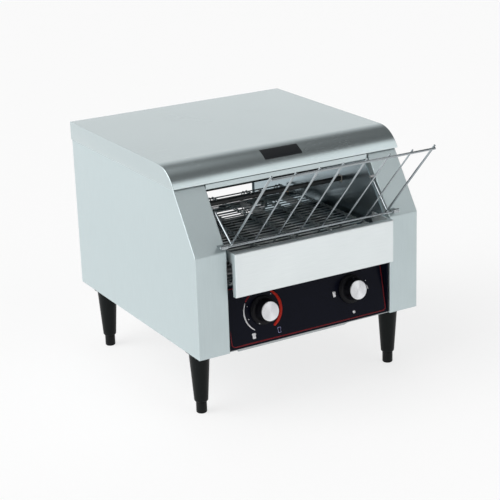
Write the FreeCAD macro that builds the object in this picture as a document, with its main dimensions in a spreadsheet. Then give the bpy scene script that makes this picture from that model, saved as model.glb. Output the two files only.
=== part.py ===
import FreeCAD, Part
import math
import os
import re
import Sketcher
from FreeCAD import Rotation, Vector

# Conveyor toaster on four legs: bread slides down the wire feed rack onto a driven wire belt,
# rides under and over heating elements and drops down a rear chute through the back panel.
# X is right, Y is back, Z is up. The origin is on the counter, midway between the four feet.

doc = FreeCAD.newDocument("conveyor_toaster")
sizes = doc.addObject("Spreadsheet::Sheet", "sizes")

SIZES = {
    # cabinet, millimetres
    "body_width": 400, "body_depth": 426, "leg_height": 107.5, "body_height": 283.5,
    "knee_share": 0.569665, "slope_lean_share": 0.669474, "slope_drop": 27,
    "lid_skirt": 30, "lid_bend": 56, "lid_bend_inset": 41.4,
    "lid_side_gap": 0.8, "lid_back_gap": 0.6, "lid_corner": 5,
    "sheet_gauge": 1.2, "sheet_bend": 1.8, "seat_gap": 0.3, "overrun": 5,
    "flange_width": 53, "flange_return": 16, "rear_flange": 20, "bottom_flange": 16,
    # tunnel, header and back
    "wall_inset": 54.5, "wall_drop": 29, "wall_step_gap": 1, "wall_overlap": 3,
    "header_stand": 3.1, "header_drop": 25, "header_height": 16.5, "header_lip": 14,
    "reflector_drop": 51, "reflector_inset": 93, "reflector_edge": 12,
    "outlet_inset": 2.5, "outlet_rise": 42.5, "outlet_drop": 1, "outlet_corner": 4,
    "vent_length": 34, "vent_width": 4, "vent_spacing": 11, "vent_rows": 6,
    "vent_inset": 37, "vent_rise": 60.5,
    "base_hole_inset": 5, "base_hole_front_inset": 88, "base_hole_back_inset": 128,
    "base_inset": 4,
    # belt and shafts
    "belt_share": 0.506173, "belt_side_gap": 7, "rod_diameter": 3, "rod_spacing": 12,
    "sprocket_teeth": 10, "belt_room": 138, "front_axle_inset": 21,
    "edge_band_height": 4, "edge_band_width": 1.5,
    "shaft_diameter": 10, "shaft_clearance": 0.05, "shaft_overhang": 7.5,
    "driven_overhang": 14.5,
    "bush_diameter": 16, "bush_flange": 22, "bush_flange_width": 2.4, "bush_fit": 0.15,
    "sprocket_width": 5, "sprocket_hub": 20, "sprocket_hub_width": 12, "sprocket_inset": 43.5,
    "sprockets_per_shaft": 2, "tooth_seat": 3.2, "tooth_clearance": 0.4,
    "carrier_strips": 4, "carrier_inset": 23.5, "carrier_gauge": 2, "carrier_height": 12,
    "carrier_end_gap": 27, "carrier_bar": 12, "carrier_bar_height": 2.7,
    "carrier_bar_inset": 65, "carrier_bar_back_inset": 55, "carrier_sink": 0.5,
    # heating elements
    "element_diameter": 8, "upper_element_share": 0.679012, "upper_element_spacing": 75,
    "lower_element_drop": 23, "lower_element_shift": 48, "lower_element_spacing": 72,
    "elements_per_row": 3, "element_overhang": 12.5,
    "element_pin": 3, "element_pin_length": 10, "element_fit": 0.1,
    "insulator_flange": 16, "insulator_spigot": 11.4, "insulator_flange_width": 2.5,
    # deflector and control panel
    "deflector_side_gap": 3.1, "deflector_stand": 17, "deflector_height": 69,
    "deflector_return": 10, "deflector_bend": 2,
    "ear_inset": 41, "ear_height": 17, "ear_screw_inset": 34, "ear_screw_drop": 5,
    "panel_setback": 3, "panel_rise": 0.5, "panel_drop": 46,
    "panel_tilt": 12, "panel_gauge": 1.5, "panel_fold": 18, "spindle_hole": 9,
    "shield_inset": 83, "shield_drop": 51, "shield_front_inset": 26,
    # knobs and what they turn
    "knob_inset": 64.7, "knob_share": 0.519833, "knob_lift": 0.8, "knob_skirt": 46,
    "knob_skirt_width": 2.8,
    "knob_body": 35, "knob_nose": 32.4, "knob_reach": 22.2, "cap_diameter": 30, "cap_width": 1.9,
    "spindle_diameter": 6, "spindle_in_knob": 16,
    "spindle_in_box": 14, "spindle_clearance": 0.05,
    "dial_box_diameter": 24, "dial_box_depth": 13, "board_half": 34, "board_height": 46,
    "board_gauge": 1.6, "board_gap": 3, "sink_width": 26, "sink_height": 30, "sink_depth": 12,
    "switch_half": 21, "switch_depth": 38,
    "switch_tab": 5, "switch_tab_gauge": 1, "switch_tab_height": 6,
    # feed rack
    "rack_stand": 5.5, "rack_rise": 10, "rack_angle": 47.4, "rack_length": 175, "rack_tip": 4,
    "rack_tail": 6, "rack_side_gap": 5.9, "rack_wires": 8, "wire_diameter": 3,
    "rim_diameter": 4, "rack_rod_overhang": 15.4, "rack_rod_margin": 1.5, "weld_sink": 0.6,
    "arm_length": 69, "pivot_sleeve": 6.6, "pivot_inset": 1.6, "pivot_width": 11,
    "pivot_web": 1.6, "stop_diameter": 4.4, "stop_reach": 10, "stop_along": 66,
    # crumb tray and its rails
    "tray_inset": 45.5, "tray_drop": 30, "tray_height": 24, "tray_front_inset": 61,
    "tray_back_inset": 105, "tray_lip": 35, "tray_rim": 6, "tray_bend": 2.5,
    "rail_gap": 2, "rail_foot": 5, "rail_flange": 10, "rail_front_inset": 73,
    "rail_back_inset": 101,
    # chute
    "chute_tuck": 8, "chute_drop": 48, "chute_lip": 9,
    # legs and feet
    "leg_side_inset": 24.5, "leg_end_inset": 47.6, "leg_disc": 44, "leg_disc_height": 4,
    "leg_top": 33, "leg_end": 22, "foot_height": 20, "foot_diameter": 17,
    "stem_diameter": 8, "stem_clearance": 0.08, "stem_length": 30, "stem_bore": 36,
    "bolt_diameter": 8, "bolt_length": 16, "bolt_head": 14, "bolt_head_height": 5.2,
    "bolt_clearance": 0.15,
    # drive
    "chain_offset": 6.5, "chain_width": 3.4, "chain_height": 3.2, "chain_link": 6.35,
    "wheel_teeth": 15, "pinion_teeth": 10, "motor_back": 50, "motor_rise": 44.1,
    "wheel_seat": 1.9, "motor_shaft": 7, "motor_shaft_in": 8, "motor_boss": 12,
    "gearbox_diameter": 56, "gearbox_width": 19, "motor_diameter": 48, "motor_width": 17,
    "bracket_offset": 12.9, "bracket_gauge": 1.5, "bracket_half": 33,
    "bracket_foot": 14, "bracket_foot_half": 18, "bracket_corner": 8,
    # wiring
    "terminal_inset": 28, "terminal_back_inset": 83, "terminal_length": 44,
    "terminal_width": 20, "terminal_height": 16, "terminal_poles": 3, "terminal_slot": 9,
    "gland_inset": 36, "gland_rise": 26.5, "gland_thread": 16, "gland_nut": 24,
    "gland_nut_width": 5, "gland_dome": 19, "gland_dome_length": 11, "gland_bore": 9,
    "gland_inside": 9, "gland_fit": 0.2,
    # screws
    "screw_shank": 3.6, "screw_hole": 4.2, "screw_head": 7.4, "screw_head_height": 2.2,
    "screw_tail": 5, "back_screw_inset": 10, "back_screw_rise": 20.5,
    "back_screw_margin": 75.5, "back_screw_rows": 3, "lid_screw_drop": 15,
}

# Places that follow from the sizes: each is a cell of the same sheet.
PLACES = {
    "body_half": "body_width/2", "front_edge": "body_depth/2",
    "lid_top": "leg_height + body_height", "knee_height": "leg_height + knee_share*body_height",
    "slope_top": "lid_top - slope_drop",
    "slope_setback": "slope_lean_share*(slope_top - knee_height)",
    "lid_bend_start": "front_edge - slope_setback - lid_bend_inset",
    "wall_x": "body_half - wall_inset", "wall_top": "lid_top - wall_drop",
    "belt_top": "leg_height + belt_share*body_height",
    "header_front": "front_edge - slope_setback + header_stand",
    "header_top": "lid_top - header_drop", "header_bottom": "header_top - header_height",
    "reflector_z": "lid_top - reflector_drop", "reflector_reach": "front_edge - reflector_inset",
    "outlet_half": "wall_x - outlet_inset", "outlet_bottom": "leg_height + outlet_rise",
    "outlet_top": "belt_top - outlet_drop",
    "vent_x": "body_half - vent_inset", "vent_z": "leg_height + vent_rise",
    "belt_half": "wall_x - belt_side_gap", "front_axle": "front_edge - front_axle_inset",
    "run_links": "round((body_depth - belt_room)/rod_spacing)",
    "rear_axle": "run_links*rod_spacing - front_axle",
    "shaft_left": "wall_x + shaft_overhang", "shaft_right": "wall_x + driven_overhang",
    "sprocket_spread": "belt_half - sprocket_inset",
    "carrier_spread": "belt_half - carrier_inset",
    "carrier_front": "front_axle - carrier_end_gap", "carrier_back": "rear_axle - carrier_end_gap",
    "carrier_bar_front": "carrier_front - carrier_bar_inset",
    "carrier_bar_back": "carrier_back - carrier_bar_back_inset",
    "upper_element_z": "leg_height + upper_element_share*body_height",
    "upper_element_front": "upper_element_spacing*(elements_per_row - 1)/2",
    "lower_element_z": "belt_top - lower_element_drop",
    "lower_element_front": "lower_element_spacing*(elements_per_row - 1)/2 + lower_element_shift",
    "element_reach": "wall_x + element_overhang",
    "deflector_half": "wall_x - deflector_side_gap",
    "deflector_front": "front_edge + deflector_stand",
    "deflector_bottom": "knee_height - deflector_height",
    "ear_back": "front_edge - ear_inset", "ear_bottom": "knee_height - ear_height",
    "ear_screw_y": "front_edge - ear_screw_inset",
    "ear_screw_z": "knee_height - ear_screw_drop",
    "panel_half": "wall_x - seat_gap", "panel_front": "front_edge - panel_setback",
    "panel_bottom": "leg_height + sheet_gauge + panel_rise", "panel_top": "belt_top - panel_drop",
    "shield_y": "front_edge - shield_inset", "shield_top": "belt_top - shield_drop",
    "shield_front": "front_edge - shield_front_inset",
    "wall_step_y": "shield_y - wall_step_gap", "wall_step_z": "shield_top - wall_step_gap",
    "knob_x": "panel_half - knob_inset",
    "knob_z": "panel_bottom + knob_share*(panel_top - panel_bottom)",
    "rack_y": "front_edge + rack_stand", "rack_z": "knee_height + rack_rise",
    "rack_half": "wall_x - rack_side_gap", "rack_rod_half": "wall_x + rack_rod_overhang",
    "pivot_start": "body_half - flange_width + pivot_inset",
    "tray_half": "wall_x - tray_inset", "tray_bottom": "leg_height - tray_drop",
    "tray_front": "front_edge - tray_front_inset", "tray_back": "front_edge - tray_back_inset",
    "rail_front": "front_edge - rail_front_inset", "rail_back": "front_edge - rail_back_inset",
    "base_hole_half": "tray_half - base_hole_inset",
    "base_hole_front": "front_edge - base_hole_front_inset",
    "base_hole_back": "front_edge - base_hole_back_inset",
    "chute_front": "rear_axle - chute_tuck", "chute_top": "belt_top - chute_drop",
    "leg_x": "body_half - leg_side_inset", "leg_y": "front_edge - leg_end_inset",
    "chain_x": "wall_x + chain_offset", "bracket_x": "wall_x + bracket_offset",
    "terminal_x": "body_half - terminal_inset", "terminal_y": "front_edge - terminal_back_inset",
    "gland_x": "body_half - gland_inset", "gland_z": "leg_height + gland_rise",
    "back_screw_x": "body_half - back_screw_inset",
    "back_screw_low": "leg_height + back_screw_rise",
    "back_screw_spacing": "(body_height - back_screw_margin)/(back_screw_rows - 1)",
    "lid_screw_z": "lid_top - lid_screw_drop",
}

for row, (alias, entry) in enumerate([*SIZES.items(), *PLACES.items()], start=1):
    sizes.set("A%d" % row, "=" + entry if alias in PLACES else str(entry))
    sizes.setAlias("A%d" % row, alias)
doc.recompute()


def full(formula):
    """Point each size name in a formula at its cell."""
    return re.sub(r"[a-z][a-z_]+[a-z]", lambda m: "sizes." + m.group(0)
                  if m.group(0) in SIZES or m.group(0) in PLACES else m.group(0),
                  formula)


def value(formula):
    return float(sizes.evalExpression(full(formula)))


def bind(item, name, formula):
    item.setExpression(name, full(formula))


def new_body(label):
    body = doc.addObject("PartDesign::Body", label)
    body.Label = label
    return body


def origin_part(body, role):
    return [part for part in body.Origin.OriginFeatures if part.Role == role][0]


def new_sketch(body, plane, offset="0"):
    """A sketch on one of the body's own planes, moved along the plane's normal."""
    sketch = body.newObject("Sketcher::SketchObject", body.Label + "_sketch")
    sketch.AttachmentSupport = [(origin_part(body, plane), "")]
    sketch.MapMode = "FlatFace"
    bind(sketch, "AttachmentOffset.Base.z", offset)
    return sketch


def rules(sketch, entries):
    """Dimensions that each follow a formula of sheet sizes."""
    made = sketch.addConstraint([Sketcher.Constraint(*terms, value(formula))
                                 for formula, terms in entries])
    for index, (formula, terms) in zip(made, entries):
        sketch.renameConstraint(index, "rule_%d" % index)
        bind(sketch, "Constraints.rule_%d" % index, formula)


def rule(sketch, formula, *terms):
    rules(sketch, [(formula, terms)])


def held_at(geometry, point, place):
    return [(place[0], ("DistanceX", -1, 1, geometry, point)),
            (place[1], ("DistanceY", -1, 1, geometry, point))]


def pin(sketch, geometry, point, place):
    rules(sketch, held_at(geometry, point, place))


def outline(sketch, corners):
    """A closed outline through corners (u, v) or (u, v, radius), all formulas."""
    points = [Vector(value(c[0]), value(c[1]), 0) for c in corners]
    radii = [value(c[2]) if len(c) > 2 else 0 for c in corners]
    count = len(corners)
    ends = []
    for i in range(count):
        before = (points[i - 1] - points[i]).normalize()
        after = (points[(i + 1) % count] - points[i]).normalize()
        half = before.getAngle(after) / 2
        reach = radii[i] / math.tan(half)
        ends.append((points[i] + before * reach, points[i] + after * reach, before, after, half))
    sides = sketch.addGeometry([Part.LineSegment(ends[i][1], ends[(i + 1) % count][0])
                                for i in range(count)])
    sharp = [i for i in range(count) if radii[i] == 0]
    sketch.addConstraint([Sketcher.Constraint("Coincident", sides[i - 1], 2, sides[i], 1)
                          for i in sharp])
    rules(sketch, [held for i in sharp for held in held_at(sides[i], 1, corners[i])])
    for i in range(count):
        arriving, leaving = sides[i - 1], sides[i]
        if radii[i] == 0:
            continue
        start, end, before, after, half = ends[i]
        centre = points[i] + (before + after).normalize() * (radii[i] / math.sin(half))
        left_turn = (before * -1).cross(after).z > 0
        first, last = (start, end) if left_turn else (end, start)
        from_angle = math.atan2(first.y - centre.y, first.x - centre.x)
        to_angle = math.atan2(last.y - centre.y, last.x - centre.x)
        if to_angle < from_angle:
            to_angle += 2 * math.pi
        circle = Part.Circle(centre, Vector(0, 0, 1), radii[i])
        arc = sketch.addGeometry(Part.ArcOfCircle(circle, from_angle, to_angle))
        enter, leave = (1, 2) if left_turn else (2, 1)
        sketch.addConstraint(Sketcher.Constraint("Tangent", arriving, 2, arc, enter))
        sketch.addConstraint(Sketcher.Constraint("Tangent", leaving, 1, arc, leave))
        rule(sketch, corners[i][2], "Radius", arc)
        mark = sketch.addGeometry(Part.Point(points[i]), True)
        pin(sketch, mark, 1, corners[i])
        sketch.addConstraint(Sketcher.Constraint("PointOnObject", mark, 1, arriving))
        sketch.addConstraint(Sketcher.Constraint("PointOnObject", mark, 1, leaving))


def rectangle(sketch, u_low, v_low, u_high, v_high, radius=None):
    corners = [(u_low, v_low), (u_high, v_low), (u_high, v_high), (u_low, v_high)]
    outline(sketch, [c + (radius,) for c in corners] if radius else corners)


def circle(sketch, u, v, diameter):
    ring = sketch.addGeometry(Part.Circle(Vector(value(u), value(v), 0), Vector(0, 0, 1),
                                          value(diameter) / 2))
    pin(sketch, ring, 3, (u, v))
    rule(sketch, diameter, "Diameter", ring)


def many_sided(sketch, u, v, across, sides=8):
    """A regular outline with flats at the top and sides; it keeps what repeats light."""
    reach = "(%s)/(2*cos(180/%d))" % (across, sides)
    turns = [360 / sides * (index + 0.5) for index in range(sides)]
    outline(sketch, [("%s + %s*sin(%r)" % (u, reach, turn), "%s - %s*cos(%r)" % (v, reach, turn))
                     for turn in turns])


def loop_round(sketch, first, second):
    """Two circles (u, v, radius), the first with the lower u, wrapped by a taut loop."""
    arcs = []
    places = [Vector(value(c[0]), value(c[1]), 0) for c in (first, second)]
    radii = [value(c[2]) for c in (first, second)]
    along = places[1] - places[0]
    heading = math.atan2(along.y, along.x)
    lean = math.acos((radii[0] - radii[1]) / along.Length)
    spans = ((heading + lean, heading + 2 * math.pi - lean), (heading - lean, heading + lean))
    for place, radius, span in zip(places, radii, spans):
        ring = Part.Circle(place, Vector(0, 0, 1), radius)
        arcs.append(sketch.addGeometry(Part.ArcOfCircle(ring, *span)))
    def at(index, angle):
        return places[index] + Vector(math.cos(angle), math.sin(angle), 0) * radii[index]
    low = sketch.addGeometry(Part.LineSegment(at(0, heading - lean), at(1, heading - lean)))
    high = sketch.addGeometry(Part.LineSegment(at(1, heading + lean), at(0, heading + lean)))
    for arc, wheel in zip(arcs, (first, second)):
        pin(sketch, arc, 3, wheel)
        rule(sketch, wheel[2], "Radius", arc)
    for line, point, arc, end in ((low, 1, arcs[0], 2), (low, 2, arcs[1], 1),
                                  (high, 1, arcs[1], 2), (high, 2, arcs[0], 1)):
        sketch.addConstraint(Sketcher.Constraint("Tangent", line, point, arc, end))


def pad(body, sketch, length, symmetric=False):
    feature = body.newObject("PartDesign::Pad", body.Label + "_pad")
    feature.Profile = sketch
    feature.SideType = "Symmetric" if symmetric else "One side"
    bind(feature, "Length", length)
    body.Tip = feature
    return feature


def pocket(body, sketch, length):
    """A cut that reaches half its length to each side of the sketch."""
    feature = body.newObject("PartDesign::Pocket", body.Label + "_pocket")
    feature.Profile = sketch
    feature.SideType = "Symmetric"
    bind(feature, "Length", length)
    body.Tip = feature
    return feature


def revolve(body, sketch, axis="V_Axis"):
    feature = body.newObject("PartDesign::Revolution", body.Label + "_turned")
    feature.Profile = sketch
    feature.ReferenceAxis = (sketch, [axis])
    feature.Angle = 360
    body.Tip = feature
    return feature


def lean_in(body, feature, steady, angle, reverse=True):
    """Lean a prism's sides inwards, away from its end that faces the steady direction."""
    end = faces_facing(feature, steady)
    sides = ["Face%d" % (index + 1) for index, face in enumerate(feature.Shape.Faces)
             if abs(face.normalAt(0, 0).dot(steady)) < 0.5]
    draft = body.newObject("PartDesign::Draft", body.Label + "_draft")
    draft.Base = (feature, sides)
    draft.NeutralPlane = (feature, end)
    draft.Reversed = reverse
    bind(draft, "Angle", angle)
    body.Tip = draft
    return draft


def repeat(body, feature, role, length, count, second=None):
    """A straight pattern along an origin axis; second is (role, length, count)."""
    pattern = body.newObject("PartDesign::LinearPattern", body.Label + "_row")
    pattern.Originals = [feature]
    pattern.Direction = (origin_part(body, role), [""])
    bind(pattern, "Length", length)
    bind(pattern, "Occurrences", count)
    if second:
        pattern.Direction2 = (origin_part(body, second[0]), [""])
        bind(pattern, "Length2", second[1])
        bind(pattern, "Occurrences2", second[2])
    body.Tip = pattern
    return pattern


def turn_copies(body, feature, role, count):
    pattern = body.newObject("PartDesign::PolarPattern", body.Label + "_ring")
    pattern.Originals = [feature]
    pattern.Axis = (origin_part(body, role), [""])
    pattern.Angle = 360
    bind(pattern, "Occurrences", count)
    body.Tip = pattern
    return pattern


def hollow(body, feature, faces, wall):
    """Leave a sheet-thick shell, open at the named faces."""
    shell = body.newObject("PartDesign::Thickness", body.Label + "_shell")
    shell.Base = (feature, faces)
    shell.Mode = "Skin"
    shell.Join = "Arc"
    shell.Reversed = True
    bind(shell, "Value", wall)
    body.Tip = shell
    return shell


def round_edges(body, feature, edges, radius, kind="Fillet"):
    feature_round = body.newObject("PartDesign::" + kind, body.Label + "_round")
    feature_round.Base = (feature, edges)
    bind(feature_round, "Radius" if kind == "Fillet" else "Size", radius)
    body.Tip = feature_round
    return feature_round


def edges_along(feature, direction, test):
    """Names of the straight edges along a direction whose middle passes the test."""
    doc.recompute()
    names = []
    for number, edge in enumerate(feature.Shape.Edges, start=1):
        if edge.Curve.TypeId != "Part::GeomLine":
            continue
        middle = edge.valueAt((edge.FirstParameter + edge.LastParameter) / 2)
        if edge.tangentAt(edge.FirstParameter).cross(direction).Length < 1e-6 and test(middle):
            names.append("Edge%d" % number)
    return names


def faces_facing(feature, direction):
    """Names of the flat faces that lie furthest along a direction and face it."""
    doc.recompute()
    facing = []
    for number, face in enumerate(feature.Shape.Faces, start=1):
        if face.Surface.TypeId == "Part::GeomPlane":
            normal = face.normalAt(0, 0)
            if (normal - direction).Length < 1e-6:
                facing.append((face.CenterOfMass.dot(direction), "Face%d" % number))
    return [name for reach, name in facing if reach > max(facing)[0] - 1e-6]


def place(item, x, y, z, tilt=None):
    if tilt:
        item.Placement.Rotation = Rotation(Vector(1, 0, 0), value(tilt))
        bind(item, "Placement.Rotation.Angle", tilt)
    for axis_name, formula in zip("xyz", (x, y, z)):
        bind(item, "Placement.Base." + axis_name, formula)


def mirrored(label, source, normal=Vector(1, 0, 0)):
    """The other hand of a piece, across the machine's middle plane."""
    copy = doc.addObject("Part::Mirroring", label)
    copy.Label = label
    copy.Source = source
    copy.Normal = normal
    return copy


X, Y, Z = Vector(1, 0, 0), Vector(0, 1, 0), Vector(0, 0, 1)
FRONT = "-body_depth/2"
BACK = "body_depth/2"
BASE_TOP = "(leg_height + sheet_gauge)"
WALL_OUT = "(wall_x + sheet_gauge)"
# the slope leans back by this much for each millimetre of rise
LEAN = "(slope_setback/(slope_top - knee_height))"
LEAN_STRETCH = "sqrt(1 + %s*%s)" % (LEAN, LEAN)
PITCH_RADIUS = "(rod_spacing/(2*sin(180/sprocket_teeth)))"
AXLE_Z = "(belt_top - rod_diameter/2 - %s)" % PITCH_RADIUS
REAR_AXLE = "rear_axle"
pieces = []


def keep(item):
    pieces.append(item)
    return item


def front_line(depth):
    """Foot, knee and top of the cabinet's front edge, moved inward by a depth."""
    knee_drop = "(%s)*(%s - 1)/%s" % (depth, LEAN_STRETCH, LEAN)
    return [("%s + %s" % (FRONT, depth), BASE_TOP),
            ("%s + %s" % (FRONT, depth), "knee_height - %s" % knee_drop),
            ("%s + slope_setback + (%s)*%s" % (FRONT, depth, LEAN_STRETCH), "slope_top")]


def front_strip(outer, inner):
    """The band between two depths behind the cabinet's front edge."""
    return front_line(outer) + list(reversed(front_line(inner)))


# Side panel: one folded sheet with the side wall, the front flange that turns back at the knee,
# its return into the mouth, and the flanges at the back and bottom.
def side_panel(label):
    body = new_body(label)
    wall = new_sketch(body, "YZ_Plane", "-body_width/2")
    outline(wall, [(FRONT, "leg_height"), front_line("0")[1], front_line("0")[2],
                   ("-lid_bend_start", "lid_top - sheet_gauge - seat_gap"),
                   (BACK, "lid_top - sheet_gauge - seat_gap"), (BACK, "leg_height")])
    pad(body, wall, "sheet_gauge")
    flange = new_sketch(body, "YZ_Plane", "-body_width/2")
    outline(flange, front_strip("0", "sheet_gauge"))
    pad(body, flange, "flange_width")
    inward = new_sketch(body, "YZ_Plane", "flange_width - body_width/2 - sheet_gauge")
    outline(inward, front_strip("0", "flange_return"))
    pad(body, inward, "sheet_gauge")
    notch = new_sketch(body, "YZ_Plane", "flange_width - body_width/2")
    many_sided(notch, "-front_axle", AXLE_Z, "bush_flange + 4*seat_gap")
    pocket(body, notch, "2*overrun")
    rear = new_sketch(body, "YZ_Plane", "-body_width/2")
    rectangle(rear, BACK + " - sheet_gauge", "leg_height", BACK,
              "lid_top - sheet_gauge - seat_gap")
    pad(body, rear, "rear_flange")
    bottom = new_sketch(body, "YZ_Plane", "-body_width/2")
    rectangle(bottom, FRONT, BASE_TOP, BACK + " - 2*sheet_gauge - seat_gap",
              BASE_TOP + " + sheet_gauge")
    folded = pad(body, bottom, "bottom_flange")
    corner = edges_along(folded, Z, lambda m: abs(m.x + value("body_width/2")) < 1e-3)
    bent = round_edges(body, folded, corner, "sheet_bend")
    holes = new_sketch(body, "XZ_Plane", "-(%s)" % BACK)
    for level in range(int(value("back_screw_rows"))):
        many_sided(holes, "-back_screw_x", "back_screw_low + %d*back_screw_spacing" % level,
                   "screw_hole")
    many_sided(holes, "-back_screw_x", "lid_screw_z", "screw_hole")
    pocket(body, holes, "overrun")
    return body


left_side = keep(side_panel("left_side_panel"))
keep(mirrored("right_side_panel", left_side))


# Top cover: a drawn lid with a big front bend and skirts that hang over the side panels.
def top_cover():
    body = new_body("top_cover")
    side = new_sketch(body, "YZ_Plane")
    back = "%s + lid_back_gap + sheet_gauge" % BACK
    nose = "-(lid_bend_start + lid_bend)"
    foot = "lid_top - lid_bend - overrun"
    outline(side, [(back, foot), (back, "lid_top"), (nose, "lid_top", "lid_bend"), (nose, foot)])
    block = pad(body, side, "body_width + 2*(lid_side_gap + sheet_gauge)", symmetric=True)
    trim = new_sketch(body, "YZ_Plane")
    rectangle(trim, nose + " - overrun", foot + " - overrun", back + " + overrun",
              "lid_top - lid_skirt")
    trimmed = pocket(body, trim, "body_width + 4*overrun")
    corners = edges_along(trimmed, Z, lambda m: m.y > 0)
    rounded = round_edges(body, trimmed, corners, "lid_corner")
    hollow(body, rounded, faces_facing(rounded, Z * -1), "sheet_gauge")
    holes = new_sketch(body, "XZ_Plane", "-(%s)" % BACK)
    for side_sign in ("-", ""):
        many_sided(holes, side_sign + "back_screw_x", "lid_screw_z", "screw_hole")
    pocket(body, holes, "2*overrun")
    return body


keep(top_cover())


# Header strip: the narrow front plate under the lid, with a lip turned back at its foot.
def header_strip():
    body = new_body("header_strip")
    section = new_sketch(body, "YZ_Plane")
    outline(section, [("-header_front", "header_bottom"), ("-header_front", "header_top"),
                      ("-header_front + sheet_gauge", "header_top"),
                      ("-header_front + sheet_gauge", "header_bottom + sheet_gauge"),
                      ("-header_front + header_lip", "header_bottom + sheet_gauge"),
                      ("-header_front + header_lip", "header_bottom")])
    folded = pad(body, section, "2*(wall_x - seat_gap)", symmetric=True)
    fold = edges_along(folded, X, lambda m: abs(m.y + value("header_front")) < 1e-3
                       and abs(m.z - value("header_bottom")) < 1e-3)
    round_edges(body, folded, fold, "sheet_gauge")
    return body


keep(header_strip())


# Inner wall: the tunnel's side, stepped over the wiring bay, with holes for shafts and elements.
def inner_wall(label):
    body = new_body(label)
    sheet = new_sketch(body, "YZ_Plane", "-" + WALL_OUT)
    edge = front_line("flange_return - wall_overlap")
    outline(sheet, [("-wall_step_y", BASE_TOP), ("-wall_step_y", "wall_step_z"),
                    (edge[1][0], "wall_step_z"), edge[1],
                    ("%s + (wall_top - slope_top)*%s" % (edge[2][0], LEAN), "wall_top"),
                    (BACK + " - 2*sheet_gauge - seat_gap", "wall_top"),
                    (BACK + " - 2*sheet_gauge - seat_gap", BASE_TOP)])
    pad(body, sheet, "sheet_gauge")
    holes = new_sketch(body, "YZ_Plane", "-" + WALL_OUT)
    for axle in ("-front_axle", REAR_AXLE):
        many_sided(holes, axle, AXLE_Z, "bush_diameter + 2*bush_fit", 4)
    for row in ("upper", "lower"):
        for index in range(int(value("elements_per_row"))):
            many_sided(holes, "%d*%s_element_spacing - %s_element_front" % (index, row, row),
                       row + "_element_z", "insulator_spigot + 2*bush_fit", 4)
    many_sided(holes, "-ear_screw_y", "ear_screw_z", "screw_hole")
    pocket(body, holes, "overrun")
    return body


left_wall = keep(inner_wall("left_inner_wall"))
keep(mirrored("right_inner_wall", left_wall))


# Base plate: the floor of the cabinet, open over the crumb tray and drilled for the leg bolts.
def base_plate():
    body = new_body("base_plate")
    sheet = new_sketch(body, "XY_Plane", "leg_height")
    half = "body_width/2 - sheet_gauge - seat_gap"
    rectangle(sheet, "-(%s)" % half, FRONT + " + base_inset", half,
              BACK + " - 2*sheet_gauge - seat_gap")
    pad(body, sheet, "sheet_gauge")
    cuts = new_sketch(body, "XY_Plane", "leg_height")
    rectangle(cuts, "-base_hole_half", "-base_hole_front", "base_hole_half", "base_hole_back",
              "outlet_corner")
    for x_sign in ("-", ""):
        for y_sign in ("-", ""):
            many_sided(cuts, x_sign + "leg_x", y_sign + "leg_y",
                       "bolt_diameter + 2*bolt_clearance")
    pocket(body, cuts, "overrun")
    return body


keep(base_plate())


# Back panel: closes the cabinet behind, with the toast outlet, cooling slots and the gland hole.
def back_panel():
    body = new_body("back_panel")
    sheet = new_sketch(body, "XZ_Plane", "-(%s - sheet_gauge)" % BACK)
    half = "body_width/2 - sheet_bend - seat_gap"
    rectangle(sheet, "-(%s)" % half, "leg_height", half, "lid_top - sheet_gauge - seat_gap")
    pad(body, sheet, "sheet_gauge")
    cuts = new_sketch(body, "XZ_Plane", "-(%s - sheet_gauge)" % BACK)
    rectangle(cuts, "-outlet_half", "outlet_bottom", "outlet_half", "outlet_top",
              "outlet_corner")
    circle(cuts, "-gland_x", "gland_z", "gland_thread + 2*gland_fit")
    for side_sign in ("-", ""):
        for level in range(int(value("back_screw_rows"))):
            many_sided(cuts, side_sign + "back_screw_x",
                       "back_screw_low + %d*back_screw_spacing" % level, "screw_hole")
        many_sided(cuts, side_sign + "back_screw_x", "lid_screw_z", "screw_hole")
    pocket(body, cuts, "overrun")
    slot = new_sketch(body, "XZ_Plane", "-(%s - sheet_gauge)" % BACK)
    rectangle(slot, "vent_x - vent_length/2", "vent_z", "vent_x + vent_length/2",
              "vent_z + vent_width")
    vent = pocket(body, slot, "overrun")
    repeat(body, vent, "Z_Axis", "vent_spacing*(vent_rows - 1)", "vent_rows")
    return body


keep(back_panel())


# Front deflector: a shallow bright pan in front of the belt, with ears screwed to the walls.
def front_deflector():
    body = new_body("front_deflector")
    face = new_sketch(body, "XZ_Plane", "deflector_front - deflector_return")
    rectangle(face, "-deflector_half", "deflector_bottom", "deflector_half", "knee_height")
    block = pad(body, face, "deflector_return")
    edges = edges_along(block, X, lambda m: m.y < -value("deflector_front - overrun"))
    edges += edges_along(block, Z, lambda m: m.y < -value("deflector_front - overrun"))
    softened = round_edges(body, block, edges, "deflector_bend")
    hollow(body, softened, faces_facing(softened, Y), "sheet_gauge")
    for start in ("-deflector_half", "deflector_half - sheet_gauge"):
        ear = new_sketch(body, "YZ_Plane", start)
        outline(ear, [("-deflector_front + deflector_bend", "ear_bottom"),
                      ("-ear_back", "ear_bottom", "deflector_bend"),
                      ("-ear_back", "knee_height", "deflector_bend"),
                      ("-deflector_front + deflector_return", "knee_height"),
                      ("-deflector_front + deflector_return", "knee_height - deflector_bend"),
                      ("-deflector_front + deflector_bend", "knee_height - deflector_bend")])
        pad(body, ear, "sheet_gauge")
    holes = new_sketch(body, "YZ_Plane")
    many_sided(holes, "-ear_screw_y", "ear_screw_z", "screw_hole")
    pocket(body, holes, "2*deflector_half + overrun")
    return body


keep(front_deflector())


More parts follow.
